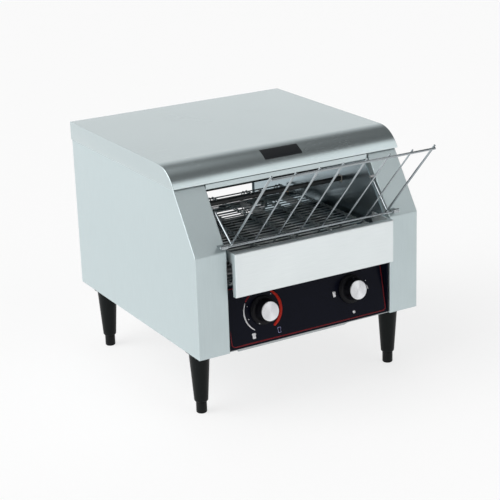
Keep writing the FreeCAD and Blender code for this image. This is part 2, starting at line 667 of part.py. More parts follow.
# Control panel: a black folded sheet that leans back, with cheeks that fill in to the front line.
def control_panel():
    body = new_body("control_panel")
    slant = "tan(panel_tilt)"
    top_y = "-panel_front + (panel_top - panel_bottom)*%s" % slant
    deep = "panel_gauge/cos(panel_tilt)"
    section = new_sketch(body, "YZ_Plane")
    outline(section, [("-panel_front", "panel_bottom"), (top_y, "panel_top"),
                      (top_y + " + " + deep, "panel_top"),
                      ("-panel_front + %s + panel_gauge*%s" % (deep, slant),
                       "panel_bottom + panel_gauge"),
                      ("-panel_front + panel_fold", "panel_bottom + panel_gauge"),
                      ("-panel_front + panel_fold", "panel_bottom")])
    pad(body, section, "2*panel_half", symmetric=True)
    for start in ("-panel_half", "panel_half - panel_gauge"):
        cheek = new_sketch(body, "YZ_Plane", start)
        outline(cheek, [("-panel_front", "panel_bottom"),
                        (top_y + " + " + deep, "panel_top"), ("-panel_front", "panel_top")])
        pad(body, cheek, "panel_gauge")
    holes = new_sketch(body, "XZ_Plane", "panel_front")
    for side_sign in ("-", ""):
        many_sided(holes, side_sign + "knob_x", "knob_z", "spindle_hole")
    pocket(body, holes, "4*panel_fold")
    return body


keep(control_panel())


# Heat shield: an angle of sheet that keeps the belt's heat off the switch and speed control.
def heat_shield():
    body = new_body("heat_shield")
    section = new_sketch(body, "YZ_Plane")
    outline(section, [("-shield_front", "shield_top"),
                      ("-shield_front", "shield_top + sheet_gauge"),
                      ("-shield_y", "shield_top + sheet_gauge"),
                      ("-shield_y", BASE_TOP + " + seat_gap"),
                      ("-shield_y - sheet_gauge", BASE_TOP + " + seat_gap"),
                      ("-shield_y - sheet_gauge", "shield_top")])
    pad(body, section, "2*(wall_x - seat_gap)", symmetric=True)
    return body


keep(heat_shield())


# Top reflector: a bright channel over the upper elements that sends their heat down.
def top_reflector():
    body = new_body("top_reflector")
    half = "(wall_x - seat_gap)"
    section = new_sketch(body, "XZ_Plane", "-reflector_reach")
    low, high = "reflector_z", "reflector_z + reflector_edge"
    inner = "reflector_z + sheet_gauge"
    outline(section, [("-%s" % half, high), ("-%s" % half, low), (half, low), (half, high),
                      (half + " - sheet_gauge", high), (half + " - sheet_gauge", inner),
                      ("-%s + sheet_gauge" % half, inner), ("-%s + sheet_gauge" % half, high)])
    pad(body, section, "2*reflector_reach")
    return body


keep(top_reflector())


# Tubular elements run across the tunnel through ceramic insulators in the inner walls.
def element_row(label, row):
    body = new_body(label)
    tube = new_sketch(body, "YZ_Plane")
    many_sided(tube, "-%s_element_front" % row, row + "_element_z", "element_diameter")
    sheath = pad(body, tube, "2*element_reach", symmetric=True)
    pin_end = new_sketch(body, "YZ_Plane")
    many_sided(pin_end, "-%s_element_front" % row, row + "_element_z", "element_pin", 4)
    core = pad(body, pin_end, "2*(element_reach + element_pin_length)", symmetric=True)
    row_copies = repeat(body, sheath, "Y_Axis",
                        "%s_element_spacing*(elements_per_row - 1)" % row, "elements_per_row")
    row_copies.Originals = [sheath, core]
    return body


keep(element_row("upper_elements", "upper"))
keep(element_row("lower_elements", "lower"))


def element_insulators():
    body = new_body("element_insulators")
    for row in ("upper", "lower"):
        for x_sign in (-1, 1):
            collar = new_sketch(body, "YZ_Plane", WALL_OUT if x_sign > 0 else
                                "-(%s + insulator_flange_width)" % WALL_OUT)
            spigot = new_sketch(body, "YZ_Plane", "wall_x" if x_sign > 0 else "-" + WALL_OUT)
            blocks = []
            for ring, size, deep in ((collar, "insulator_flange", "insulator_flange_width"),
                                     (spigot, "insulator_spigot", "sheet_gauge")):
                spot = "-%s_element_front" % row
                many_sided(ring, spot, row + "_element_z", size, 4)
                many_sided(ring, spot, row + "_element_z", "element_diameter + 2*element_fit")
                blocks.append(pad(body, ring, deep))
            across = "%s_element_spacing*(elements_per_row - 1)" % row
            repeat(body, blocks[0], "Y_Axis", across, "elements_per_row").Originals = blocks
    return body


keep(element_insulators())


# Conveyor belt: an endless loop of cross rods held at their ends by a linked edge band.
def conveyor_belt():
    body = new_body("conveyor_belt")
    for start in ("-belt_half", "belt_half - edge_band_width"):
        band = new_sketch(body, "YZ_Plane", start)
        for grow in ("+ edge_band_height/2", "- edge_band_height/2"):
            reach = "%s %s" % (PITCH_RADIUS, grow)
            loop_round(band, ("-front_axle", AXLE_Z, reach), (REAR_AXLE, AXLE_Z, reach))
        pad(body, band, "edge_band_width")
    ends = new_sketch(body, "YZ_Plane")
    for axle, facing in ((REAR_AXLE, "+"), ("-front_axle", "-")):
        for step in range(1, int(value("sprocket_teeth")) // 2):
            angle = "(%d*360/sprocket_teeth)" % step
            many_sided(ends, "%s %s %s*sin%s" % (axle, facing, PITCH_RADIUS, angle),
                       "%s + %s*cos%s" % (AXLE_Z, PITCH_RADIUS, angle), "rod_diameter")
    pad(body, ends, "2*belt_half", symmetric=True)
    pair = new_sketch(body, "YZ_Plane")
    for sign in ("+", "-"):
        many_sided(pair, "-front_axle", "%s %s %s" % (AXLE_Z, sign, PITCH_RADIUS),
                   "rod_diameter")
    rods = pad(body, pair, "2*belt_half", symmetric=True)
    repeat(body, rods, "Y_Axis", "run_links*rod_spacing", "run_links + 1")
    return body


keep(conveyor_belt())


# Belt carrier: flat strips on two cross bars hold the upper run level under the bread.
def belt_carrier():
    body = new_body("belt_carrier")
    top = "belt_top - rod_diameter - seat_gap"
    strip = new_sketch(body, "YZ_Plane", "-carrier_spread - carrier_gauge/2")
    outline(strip, [("-carrier_front", top + " - carrier_height/2"),
                    ("-carrier_front", top + " - carrier_height/4"),
                    ("-carrier_front + carrier_height/3", top),
                    ("carrier_back - carrier_height/3", top),
                    ("carrier_back", top + " - carrier_height/4"),
                    ("carrier_back", top + " - carrier_height/2"),
                    ("carrier_back - carrier_height/2", top + " - carrier_height"),
                    ("-carrier_front + carrier_height/2", top + " - carrier_height")])
    first = pad(body, strip, "carrier_gauge")
    repeat(body, first, "X_Axis", "2*carrier_spread", "carrier_strips")
    bars = new_sketch(body, "XY_Plane",
                      top + " - carrier_height + carrier_sink - carrier_bar_height")
    for spot in ("-carrier_bar_front", "carrier_bar_back"):
        rectangle(bars, "-(wall_x - seat_gap)", spot + " - carrier_bar/2",
                  "wall_x - seat_gap", spot + " + carrier_bar/2")
    pad(body, bars, "carrier_bar_height")
    return body


keep(belt_carrier())


# Belt shafts turn in flanged bushes, each with toothed wheels whose pockets clear the rods.
def shaft(label, axle, right_end):
    body = new_body(label)
    bar = new_sketch(body, "YZ_Plane", "-shaft_left")
    circle(bar, axle, AXLE_Z, "shaft_diameter")
    pad(body, bar, "shaft_left + %s" % right_end)
    return body


def belt_sprockets(label, axle):
    """Flat-topped teeth that reach just inside the rods, with a gap under every rod."""
    body = new_body(label)
    row = ("2*sprocket_spread", "sprockets_per_shaft")
    disc = new_sketch(body, "YZ_Plane", "-sprocket_spread - sprocket_width/2")
    tip = "(%s - rod_diameter/2 - tooth_clearance)" % PITCH_RADIUS
    root = "(%s - tooth_seat)" % PITCH_RADIUS
    corners = []
    for tooth in range(int(value("sprocket_teeth"))):
        for turn, reach in ((tooth + 1 / 4, root), (tooth + 3 / 8, tip), (tooth + 5 / 8, tip),
                            (tooth + 3 / 4, root)):
            angle = "(%r*360/sprocket_teeth)" % turn
            corners.append(("%s*sin%s" % (reach, angle), "%s*cos%s" % (reach, angle)))
    outline(disc, list(reversed(corners)))
    wheel = pad(body, disc, "sprocket_width")
    hub = new_sketch(body, "YZ_Plane", "-sprocket_spread - sprocket_hub_width/2")
    many_sided(hub, "0", "0", "sprocket_hub")
    collar = pad(body, hub, "sprocket_hub_width")
    repeat(body, wheel, "X_Axis", *row).Originals = [wheel, collar]
    bore = new_sketch(body, "YZ_Plane")
    circle(bore, "0", "0", "shaft_diameter + 2*shaft_clearance")
    pocket(body, bore, "2*(sprocket_spread + sprocket_hub_width)")
    place(body, "0", axle, AXLE_Z)
    return body


keep(shaft("front_shaft", "-front_axle", "shaft_right"))
keep(belt_sprockets("front_sprockets", "-front_axle"))
keep(shaft("rear_shaft", REAR_AXLE, "shaft_left"))
keep(belt_sprockets("rear_sprockets", REAR_AXLE))


def shaft_bushes():
    body = new_body("shaft_bushes")
    for x_sign in (-1, 1):
        collar = new_sketch(body, "YZ_Plane", WALL_OUT if x_sign > 0 else
                            "-(%s + bush_flange_width)" % WALL_OUT)
        sleeve = new_sketch(body, "YZ_Plane", "wall_x" if x_sign > 0 else "-" + WALL_OUT)
        for axle in ("-front_axle", REAR_AXLE):
            for ring, size, sides in ((collar, "bush_flange", 8),
                                      (sleeve, "bush_diameter", 4)):
                many_sided(ring, axle, AXLE_Z, size, sides)
                circle(ring, axle, AXLE_Z, "shaft_diameter + 2*shaft_clearance")
        pad(body, collar, "bush_flange_width")
        pad(body, sleeve, "sheet_gauge")
    return body


keep(shaft_bushes())

# Chain drive: a 15-tooth wheel on the front shaft, a 10-tooth pinion on the gearmotor.
WHEEL_RADIUS = "(chain_link/(2*sin(180/wheel_teeth)))"
PINION_RADIUS = "(chain_link/(2*sin(180/pinion_teeth)))"
MOTOR_Y = "(motor_back - front_axle)"
MOTOR_Z = "(leg_height + sheet_gauge + motor_rise)"


def chain_wheel(label, radius, teeth, bore=None):
    body = new_body(label)
    disc = new_sketch(body, "YZ_Plane", "chain_x + chain_width/5")
    circle(disc, "0", "0", "2*(%s - chain_height/2 - seat_gap)" % radius)
    pad(body, disc, "chain_width*3/5")
    seat = new_sketch(body, "YZ_Plane", "chain_x + chain_width/2")
    many_sided(seat, "0", radius, "2*(wheel_seat + seat_gap)", 6)
    notch = pocket(body, seat, "chain_width")
    turn_copies(body, notch, "X_Axis", teeth)
    return body


def driven_wheel():
    body = chain_wheel("driven_sprocket", WHEEL_RADIUS, "wheel_teeth")
    hub = new_sketch(body, "YZ_Plane", WALL_OUT + " + bush_flange_width + seat_gap")
    many_sided(hub, "0", "0", "sprocket_hub")
    pad(body, hub, "shaft_right - %s - bush_flange_width - seat_gap - chain_width/2" % WALL_OUT)
    bore = new_sketch(body, "YZ_Plane", "chain_x")
    circle(bore, "0", "0", "shaft_diameter + 2*shaft_clearance")
    pocket(body, bore, "2*sprocket_hub")
    place(body, "0", "-front_axle", AXLE_Z)
    return body


def motor_pinion():
    body = chain_wheel("motor_sprocket", PINION_RADIUS, "pinion_teeth")
    spindle = new_sketch(body, "YZ_Plane", "chain_x - chain_width/2")
    circle(spindle, "0", "0", "motor_shaft")
    pad(body, spindle, "bracket_x + bracket_gauge + motor_shaft_in - chain_x + chain_width/2")
    place(body, "0", MOTOR_Y, MOTOR_Z)
    return body


keep(driven_wheel())
keep(motor_pinion())


def drive_chain():
    body = new_body("drive_chain")
    band = new_sketch(body, "YZ_Plane", "chain_x")
    for grow in ("+ chain_height/2", "- chain_height/2"):
        loop_round(band, ("-front_axle", AXLE_Z, "%s %s" % (WHEEL_RADIUS, grow)),
                   (MOTOR_Y, MOTOR_Z, "%s %s" % (PINION_RADIUS, grow)))
    pad(body, band, "chain_width")
    return body


keep(drive_chain())


# Gearmotor: a round gearbox with a smaller motor can, hung on a sheet bracket.
def gearmotor():
    body = new_body("gearmotor")
    start = "bracket_x + bracket_gauge"
    boss = new_sketch(body, "YZ_Plane", "bracket_x")
    circle(boss, "0", "0", "motor_boss - 2*gland_fit")
    pad(body, boss, "bracket_gauge")
    case = new_sketch(body, "YZ_Plane", start)
    circle(case, "0", "0", "gearbox_diameter")
    box = pad(body, case, "gearbox_width")
    can = new_sketch(body, "YZ_Plane", start + " + gearbox_width")
    circle(can, "0", "0", "motor_diameter")
    pad(body, can, "motor_width")
    bore = new_sketch(body, "YZ_Plane", start)
    circle(bore, "0", "0", "motor_shaft + 2*shaft_clearance")
    pocket(body, bore, "2*(motor_shaft_in + overrun)")
    place(body, "0", MOTOR_Y, MOTOR_Z)
    return body


keep(gearmotor())


def motor_bracket():
    body = new_body("motor_bracket")
    plate = new_sketch(body, "YZ_Plane", "bracket_x")
    low = MOTOR_Y + " - bracket_half"
    high = MOTOR_Y + " + bracket_half"
    foot_low = MOTOR_Y + " + bracket_corner - bracket_foot_half"
    foot_high = MOTOR_Y + " + bracket_corner + bracket_foot_half"
    outline(plate, [(foot_low, BASE_TOP), (foot_high, BASE_TOP),
                    (high, MOTOR_Z + " - bracket_half"),
                    (high, MOTOR_Z + " + bracket_half - bracket_corner"),
                    (high + " - bracket_corner", MOTOR_Z + " + bracket_half"),
                    (low + " + bracket_corner", MOTOR_Z + " + bracket_half"),
                    (low, MOTOR_Z + " + bracket_half - bracket_corner"),
                    (low, MOTOR_Z + " - bracket_half")])
    pad(body, plate, "bracket_gauge")
    foot = new_sketch(body, "XY_Plane", BASE_TOP)
    rectangle(foot, "bracket_x", foot_low, "bracket_x + bracket_foot", foot_high)
    pad(body, foot, "bracket_gauge")
    hole = new_sketch(body, "YZ_Plane", "bracket_x")
    circle(hole, MOTOR_Y, MOTOR_Z, "motor_boss")
    pocket(body, hole, "overrun")
    return body


keep(motor_bracket())


# Toast chute: a sloping sheet with turned-up sides from under the belt to the outlet sill.
def toast_chute():
    body = new_body("toast_chute")
    end = BACK + " - 2*sheet_gauge - seat_gap"
    section = new_sketch(body, "YZ_Plane")
    outline(section, [("chute_front", "chute_top"), ("chute_front", "chute_top + sheet_gauge"),
                      (end, "outlet_bottom + sheet_gauge"), (end, "outlet_bottom")])
    pad(body, section, "2*(wall_x - seat_gap)", symmetric=True)
    for start in ("-(wall_x - seat_gap)", "wall_x - seat_gap - sheet_gauge"):
        lip = new_sketch(body, "YZ_Plane", start)
        outline(lip, [("chute_front", "chute_top"),
                      ("chute_front + chute_lip", "chute_top + chute_lip/2"),
                      (end, "outlet_bottom + chute_lip"), (end, "outlet_bottom")])
        pad(body, lip, "sheet_gauge")
    return body


keep(toast_chute())


# Feed rack: a welded wire grid that leans forward, on a rod that turns in two pivot sleeves.
def feed_rack():
    body = new_body("feed_rack")
    hinge = new_sketch(body, "YZ_Plane")
    circle(hinge, "0", "0", "rim_diameter")
    pad(body, hinge, "2*rack_rod_half", symmetric=True)
    head = new_sketch(body, "YZ_Plane")
    many_sided(head, "0", "rack_length", "rim_diameter")
    pad(body, head, "2*(rack_half + rack_rod_margin)", symmetric=True)
    count = int(value("rack_wires"))
    rims = new_sketch(body, "XY_Plane", "-rack_tail")
    wires = new_sketch(body, "XY_Plane", "-rack_tail")
    for index in range(count):
        edge = index in (0, count - 1)
        spot = "%d*2*rack_half/(rack_wires - 1) - rack_half" % index
        size = "rim_diameter" if edge else "wire_diameter"
        many_sided(rims if edge else wires, spot,
                   "(rim_diameter + %s)/2 - weld_sink" % size, size)
    for grid in (rims, wires):
        pad(body, grid, "rack_length + rack_tail + rack_tip")
    arms = new_sketch(body, "XZ_Plane", "-arm_length")
    for side_sign in ("-", ""):
        many_sided(arms, side_sign + "rack_half", "0", "rim_diameter")
    pad(body, arms, "arm_length")
    place(body, "0", "-rack_y", "rack_z", "90 - rack_angle")
    return body


keep(feed_rack())


def rack_pivots():
    body = new_body("rack_pivots")
    seat = "-rack_y + (pivot_sleeve/2)"
    face = FRONT + " + (rack_z - knee_height %s pivot_web/2)*" + LEAN
    for start in ("-pivot_start - pivot_width", "pivot_start"):
        web = new_sketch(body, "YZ_Plane", start)
        outline(web, [("-rack_y", "rack_z - pivot_web/2"), (face % "-", "rack_z - pivot_web/2"),
                      (face % "+", "rack_z + pivot_web/2"), ("-rack_y", "rack_z + pivot_web/2")])
        pad(body, web, "pivot_width")
        sleeve = new_sketch(body, "YZ_Plane", start)
        circle(sleeve, "-rack_y", "rack_z", "pivot_sleeve")
        pad(body, sleeve, "pivot_width")
    bore = new_sketch(body, "YZ_Plane")
    circle(bore, "-rack_y", "rack_z", "rim_diameter + 2*shaft_clearance")
    pocket(body, bore, "2*(pivot_start + 2*pivot_width)")
    return body


keep(rack_pivots())


# Rack stops: studs on the mouth's sides that the rack's arms come up against.
def rack_stops():
    body = new_body("rack_stops")
    turn = "(90 - rack_angle)"
    lift = "((rim_diameter + stop_diameter)/2 + seat_gap)"
    spot_y = "-rack_y + stop_along*cos%s - %s*sin%s" % (turn, lift, turn)
    spot_z = "rack_z + stop_along*sin%s + %s*cos%s" % (turn, lift, turn)
    inner = "(body_width/2 - flange_width)"
    for start in ("-" + inner, inner + " - stop_reach"):
        stud = new_sketch(body, "YZ_Plane", start)
        circle(stud, spot_y, spot_z, "stop_diameter")
        pad(body, stud, "stop_reach")
    return body


keep(rack_stops())


# Crumb tray: an open pan whose front leans out as a grip, hung by its rims on two rails.
def crumb_tray():
    body = new_body("crumb_tray")
    top = "tray_bottom + tray_height"
    section = new_sketch(body, "YZ_Plane")
    outline(section, [("-tray_front", "tray_bottom", "tray_bend"),
                      ("-tray_front - tray_lip", top), ("tray_back", top),
                      ("tray_back", "tray_bottom", "tray_bend")])
    block = pad(body, section, "2*tray_half", symmetric=True)
    hollow(body, block, faces_facing(block, Z), "sheet_gauge")
    rims = new_sketch(body, "XY_Plane", top + " - sheet_gauge")
    for low, high in (("-tray_half - tray_rim", "-tray_half + sheet_gauge/2"),
                      ("tray_half - sheet_gauge/2", "tray_half + tray_rim")):
        rectangle(rims, low, "-tray_front", high, "tray_back")
    pad(body, rims, "sheet_gauge")
    return body


keep(crumb_tray())


def tray_rail(label):
    body = new_body(label)
    inner = "(tray_half + tray_rim + rail_gap/2)"
    seat = "tray_bottom + tray_height - sheet_gauge - seat_gap"
    section = new_sketch(body, "XZ_Plane", "-rail_back")
    outline(section, [("-(%s - rail_foot)" % inner, seat), ("-(%s - rail_foot)" % inner,
                      seat + " - sheet_gauge"), ("-(%s + sheet_gauge)" % inner,
                      seat + " - sheet_gauge"),
                      ("-(%s + sheet_gauge)" % inner, "leg_height - sheet_gauge"),
                      ("-(%s + rail_flange)" % inner, "leg_height - sheet_gauge"),
                      ("-(%s + rail_flange)" % inner, "leg_height"),
                      ("-%s" % inner, "leg_height"), ("-%s" % inner, seat)])
    pad(body, section, "rail_front + rail_back")
    return body


left_rail = keep(tray_rail("left_tray_rail"))
keep(mirrored("right_tray_rail", left_rail))


# Knobs: a black moulding with a skirt and a waist, and a spun metal cap let into its face.
KNOB_Y = "(-panel_front + (knob_z - panel_bottom)*tan(panel_tilt))"
TILT = "-panel_tilt"


def knob(label, x):
    body = new_body(label)
    grip = new_sketch(body, "XZ_Plane", "knob_lift + knob_skirt_width")
    many_sided(grip, "0", "0", "knob_body", 16)
    grip_length = "(knob_reach - knob_skirt_width)"
    lean_in(body, pad(body, grip, grip_length), Y,
            "atan((knob_body - knob_nose)/2/%s)" % grip_length)
    skirt = new_sketch(body, "XZ_Plane", "knob_lift")
    many_sided(skirt, "0", "0", "knob_skirt", 16)
    pad(body, skirt, "knob_skirt_width")
    recess = new_sketch(body, "XZ_Plane", "knob_lift + knob_reach")
    many_sided(recess, "0", "0", "cap_diameter + 2*seat_gap", 16)
    pocket(body, recess, "cap_width")
    bore = new_sketch(body, "XZ_Plane", "knob_lift")
    circle(bore, "0", "0", "spindle_diameter + 2*spindle_clearance")
    pocket(body, bore, "2*(spindle_in_knob + spindle_clearance - knob_lift)")
    place(body, x, KNOB_Y, "knob_z", TILT)
    return body


def knob_cap(label, x):
    body = new_body(label)
    disc = new_sketch(body, "XZ_Plane",
                      "knob_lift + knob_reach - cap_width/2 + spindle_clearance")
    many_sided(disc, "0", "0", "cap_diameter", 16)
    pad(body, disc, "cap_width")
    place(body, x, KNOB_Y, "knob_z", TILT)
    return body


def spindle(label, x):
    body = new_body(label)
    half = new_sketch(body, "XY_Plane")
    rectangle(half, "0", "-spindle_in_knob", "spindle_diameter/2", "spindle_in_box")
    revolve(body, half)
    place(body, x, KNOB_Y, "knob_z", TILT)
    return body


for made, kind in ((knob, "_knob"), (knob_cap, "_knob_cap"), (spindle, "_spindle")):
    speed_side = keep(made("speed" + kind, "-knob_x"))
    keep(mirrored("selector" + kind, speed_side))

BEHIND_PANEL = "(panel_gauge + seat_gap)"


# Speed control: a round dial pot with its circuit board and finned heat sink behind it.
def speed_control():
    body = new_body("speed_control")
    pot = new_sketch(body, "XZ_Plane", "-" + BEHIND_PANEL + " - dial_box_depth")
    many_sided(pot, "0", "0", "dial_box_diameter")
    circle(pot, "0", "0", "spindle_diameter + 2*spindle_clearance")
    pad(body, pot, "dial_box_depth")
    board_front = BEHIND_PANEL + " + dial_box_depth"
    lid = new_sketch(body, "XZ_Plane", "-(%s) - board_gap" % board_front)
    many_sided(lid, "0", "0", "dial_box_diameter")
    pad(body, lid, "board_gap")
    board = new_sketch(body, "XZ_Plane", "-(%s) - board_gap - board_gauge" % board_front)
    rectangle(board, "-board_half", "-board_height/2", "board_half", "board_height/2")
    pad(body, board, "board_gauge")
    sink = new_sketch(body, "XZ_Plane",
                      "-(%s) - board_gap - board_gauge - sink_depth" % board_front)
    rectangle(sink, "-sink_width/2", "-sink_height/2", "sink_width/2", "sink_height/2")
    fin_block = pad(body, sink, "sink_depth")
    groove = new_sketch(body, "XZ_Plane",
                        "-(%s) - board_gap - board_gauge - sink_depth" % board_front)
    rectangle(groove, "-sink_width/2 + sink_width/9", "-sink_height", "-sink_width/2 + sink_width*2/9",
              "sink_height")
    cut = pocket(body, groove, "sink_depth*4/3")
    repeat(body, cut, "X_Axis", "sink_width*6/9", "4")
    place(body, "-knob_x", KNOB_Y, "knob_z", TILT)
    return body


def selector_switch():
    body = new_body("selector_switch")
    block = new_sketch(body, "XZ_Plane", "-" + BEHIND_PANEL + " - switch_depth")
    rectangle(block, "-switch_half", "-switch_half", "switch_half", "switch_half")
    pad(body, block, "switch_depth")
    bore = new_sketch(body, "XZ_Plane", "-" + BEHIND_PANEL)
    circle(bore, "0", "0", "spindle_diameter + 2*spindle_clearance")
    pocket(body, bore, "2*spindle_in_box")
    tabs = new_sketch(body, "XZ_Plane",
                      "-" + BEHIND_PANEL + " - switch_depth - switch_tab_height")
    for side_sign in ("-", ""):
        spot = side_sign + "switch_half*2/3"
        rectangle(tabs, spot + " - switch_tab_gauge/2", "-switch_half*2/3 - switch_tab/2",
                  spot + " + switch_tab_gauge/2", "switch_tab/2 - switch_half*2/3")
    row = pad(body, tabs, "switch_tab_height")
    repeat(body, row, "Z_Axis", "switch_half*4/3", "3")
    place(body, "knob_x", KNOB_Y, "knob_z", TILT)
    return body


keep(speed_control())
keep(selector_switch())


def terminal_block():
    body = new_body("terminal_block")
    block = new_sketch(body, "XY_Plane", BASE_TOP)
    rectangle(block, "-terminal_x - terminal_width/2", "terminal_y - terminal_length/2",
              "-terminal_x + terminal_width/2", "terminal_y + terminal_length/2")
    pad(body, block, "terminal_height")
    slot = new_sketch(body, "XY_Plane", BASE_TOP + " + terminal_height")
    step = "terminal_length/terminal_poles"
    rectangle(slot, "-terminal_x - terminal_width", "terminal_y - %s - terminal_slot/2" % step,
              "-terminal_x", "terminal_y - %s + terminal_slot/2" % step)
    cut = pocket(body, slot, "terminal_height")
    repeat(body, cut, "Y_Axis", "%s*(terminal_poles - 1)" % step, "terminal_poles")
    return body


keep(terminal_block())


# Cable gland: a threaded bush with a nut inside and a domed cap outside the back panel.
def cable_gland():
    body = new_body("cable_gland")
    skin = BACK + " - sheet_gauge"
    collar_end = skin + " + gland_nut_width"
    tip = new_sketch(body, "XZ_Plane", "-(%s + gland_dome_length)" % collar_end)
    many_sided(tip, "0", "0", "gland_dome", 12)
    lean_in(body, pad(body, tip, "gland_dome_length/3"), Y * -1,
            "atan(gland_dome/10/(gland_dome_length/3))", reverse=False)
    thread = new_sketch(body, "XZ_Plane", "-(%s)" % skin)
    circle(thread, "0", "0", "gland_thread")
    pad(body, thread, "sheet_gauge + gland_inside")
    collar = new_sketch(body, "XZ_Plane", "-(%s)" % collar_end)
    many_sided(collar, "0", "0", "gland_nut", 6)
    pad(body, collar, "gland_nut_width")
    dome = new_sketch(body, "XZ_Plane", "-(%s + gland_dome_length*2/3)" % collar_end)
    many_sided(dome, "0", "0", "gland_dome", 12)
    pad(body, dome, "gland_dome_length*2/3")
    bore = new_sketch(body, "XZ_Plane", "-(%s)" % skin)
    circle(bore, "0", "0", "gland_bore")
    pocket(body, bore, "2*(gland_nut_width + gland_dome_length + gland_inside + overrun)")
    place(body, "-gland_x", "0", "gland_z")
    return body


keep(cable_gland())

# Legs: tapered black legs bolted up through the base, each with a screw foot to level it.
CORNERS = (("front_left", "-leg_x", "-leg_y"), ("front_right", "leg_x", "-leg_y"),
           ("back_left", "-leg_x", "leg_y"), ("back_right", "leg_x", "leg_y"))


def leg(label, x, y):
    body = new_body(label)
    neck = "leg_height - leg_disc_height"
    shank = new_sketch(body, "XY_Plane", "foot_height")
    many_sided(shank, "0", "0", "leg_top", 16)
    shank_length = "(%s - foot_height)" % neck
    lean_in(body, pad(body, shank, shank_length), Z,
            "atan((leg_top - leg_end)/2/%s)" % shank_length)
    disc = new_sketch(body, "XY_Plane", neck)
    many_sided(disc, "0", "0", "leg_disc", 16)
    pad(body, disc, "leg_disc_height")
    stem = new_sketch(body, "XY_Plane", "foot_height")
    circle(stem, "0", "0", "stem_diameter + 2*stem_clearance")
    pocket(body, stem, "2*stem_bore")
    bore = new_sketch(body, "XY_Plane", "leg_height")
    many_sided(bore, "0", "0", "bolt_diameter + 2*bolt_clearance")
    pocket(body, bore, "2*bolt_length")
    place(body, x, y, "0")
    return body


def foot(label, x, y):
    body = new_body(label)
    pad_sketch = new_sketch(body, "XY_Plane")
    many_sided(pad_sketch, "0", "0", "foot_diameter", 12)
    pad(body, pad_sketch, "foot_height - seat_gap")
    stem = new_sketch(body, "XY_Plane", "foot_height - seat_gap")
    circle(stem, "0", "0", "stem_diameter")
    pad(body, stem, "stem_length + seat_gap")
    place(body, x, y, "0")
    return body


for made, kind in ((leg, "leg_"), (foot, "foot_")):
    corner, leg_x, leg_y = CORNERS[0]
    front_one = keep(made(kind + corner, leg_x, leg_y))
    keep(mirrored(kind + "front_right", front_one))
    back_one = keep(mirrored(kind + "back_left", front_one, Y))
    keep(mirrored(kind + "back_right", back_one))


def leg_bolts():
    body = new_body("leg_bolts")
    shanks = new_sketch(body, "XY_Plane", "leg_height - bolt_length + seat_gap")
    heads = new_sketch(body, "XY_Plane", BASE_TOP)
    for corner, x, y in CORNERS:
        many_sided(shanks, x, y, "bolt_diameter")
        many_sided(heads, x, y, "bolt_head", 6)
    pad(body, shanks, "bolt_length + sheet_gauge - seat_gap")
    pad(body, heads, "bolt_head_height")
    return body


keep(leg_bolts())


# Screws: flat heads on the outside, shanks through both sheets.
def back_screws(label, z, rows, outside):
    body = new_body(label)
    shank = new_sketch(body, "XZ_Plane", "-(%s)" % outside)
    head = new_sketch(body, "XZ_Plane", "-(%s + screw_head_height)" % outside)
    levels = int(value("back_screw_rows")) if rows else 1
    for side_sign in ("-", ""):
        for level in range(levels):
            height = "%s + %d*back_screw_spacing" % (z, level)
            many_sided(shank, side_sign + "back_screw_x", height, "screw_shank")
            many_sided(head, side_sign + "back_screw_x", height, "screw_head")
    pad(body, shank, "screw_tail")
    pad(body, head, "screw_head_height")
    return body


keep(back_screws("back_panel_screws", "back_screw_low", True, BACK))
keep(back_screws("lid_screws", "lid_screw_z", False,
                 BACK + " + lid_back_gap + sheet_gauge"))


def deflector_screws():
    body = new_body("deflector_screws")
    ear_in = "deflector_half - sheet_gauge"
    runs = ((ear_in + " - screw_head_height", "screw_head_height", "screw_head"),
            (ear_in, WALL_OUT + " + screw_tail/2 - (%s)" % ear_in, "screw_shank"),
            ("deflector_half", "wall_x - deflector_half", "screw_head"),
            (WALL_OUT, "screw_tail/2", "screw_head"))
    for start, length, size in runs:
        for x_sign in (-1, 1):
            disc = new_sketch(body, "YZ_Plane", start if x_sign > 0 else
                              "-(%s) - (%s)" % (start, length))
            many_sided(disc, "-ear_screw_y", "ear_screw_z", size)
            pad(body, disc, length)
    return body


keep(deflector_screws())

doc.recompute()
for item in doc.Objects:
    if "Invalid" in item.State or "Error" in item.State:
        raise RuntimeError("%s did not build: %s" % (item.Label, item.State))
for piece in pieces:
    if piece.Shape.isNull() or not piece.Shape.isValid():
        raise RuntimeError("%s has no valid shape" % piece.Label)
os.makedirs("parts", exist_ok=True)
for piece in pieces:
    piece.Shape.exportStep("parts/%s.step" % piece.Label)
print(len(pieces), "nodes")
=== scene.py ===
import math

import bmesh
import bpy
from mathutils import Matrix, Vector


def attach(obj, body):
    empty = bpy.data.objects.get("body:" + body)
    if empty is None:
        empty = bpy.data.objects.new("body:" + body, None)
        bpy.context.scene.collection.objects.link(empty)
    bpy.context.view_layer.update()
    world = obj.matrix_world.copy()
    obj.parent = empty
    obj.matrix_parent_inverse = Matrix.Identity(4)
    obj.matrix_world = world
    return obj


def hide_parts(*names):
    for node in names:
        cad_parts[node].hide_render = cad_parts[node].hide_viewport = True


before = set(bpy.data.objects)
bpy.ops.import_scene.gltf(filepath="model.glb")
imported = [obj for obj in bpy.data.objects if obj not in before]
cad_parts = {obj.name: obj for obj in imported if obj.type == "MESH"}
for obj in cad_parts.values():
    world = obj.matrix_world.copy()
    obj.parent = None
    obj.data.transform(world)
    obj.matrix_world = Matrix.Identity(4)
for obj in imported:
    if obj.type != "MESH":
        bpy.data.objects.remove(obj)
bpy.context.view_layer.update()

# Side panels: one folded sheet of satin stainless steel each, about 1.2 mm thick. The front
# edge turns in as a 53 mm flange that bends back at the knee and then returns into the mouth,
# and the back edge turns in to take the back panel's screws.
MM = 0.001
SHEET = 1.2
BODY_HALF = 200.0
FRONT, BACK = -213.0, 213.0
LEG_TOP = 107.5
KNEE_Z = 269.0
CREST_Y, CREST_Z = -149.4, 364.0
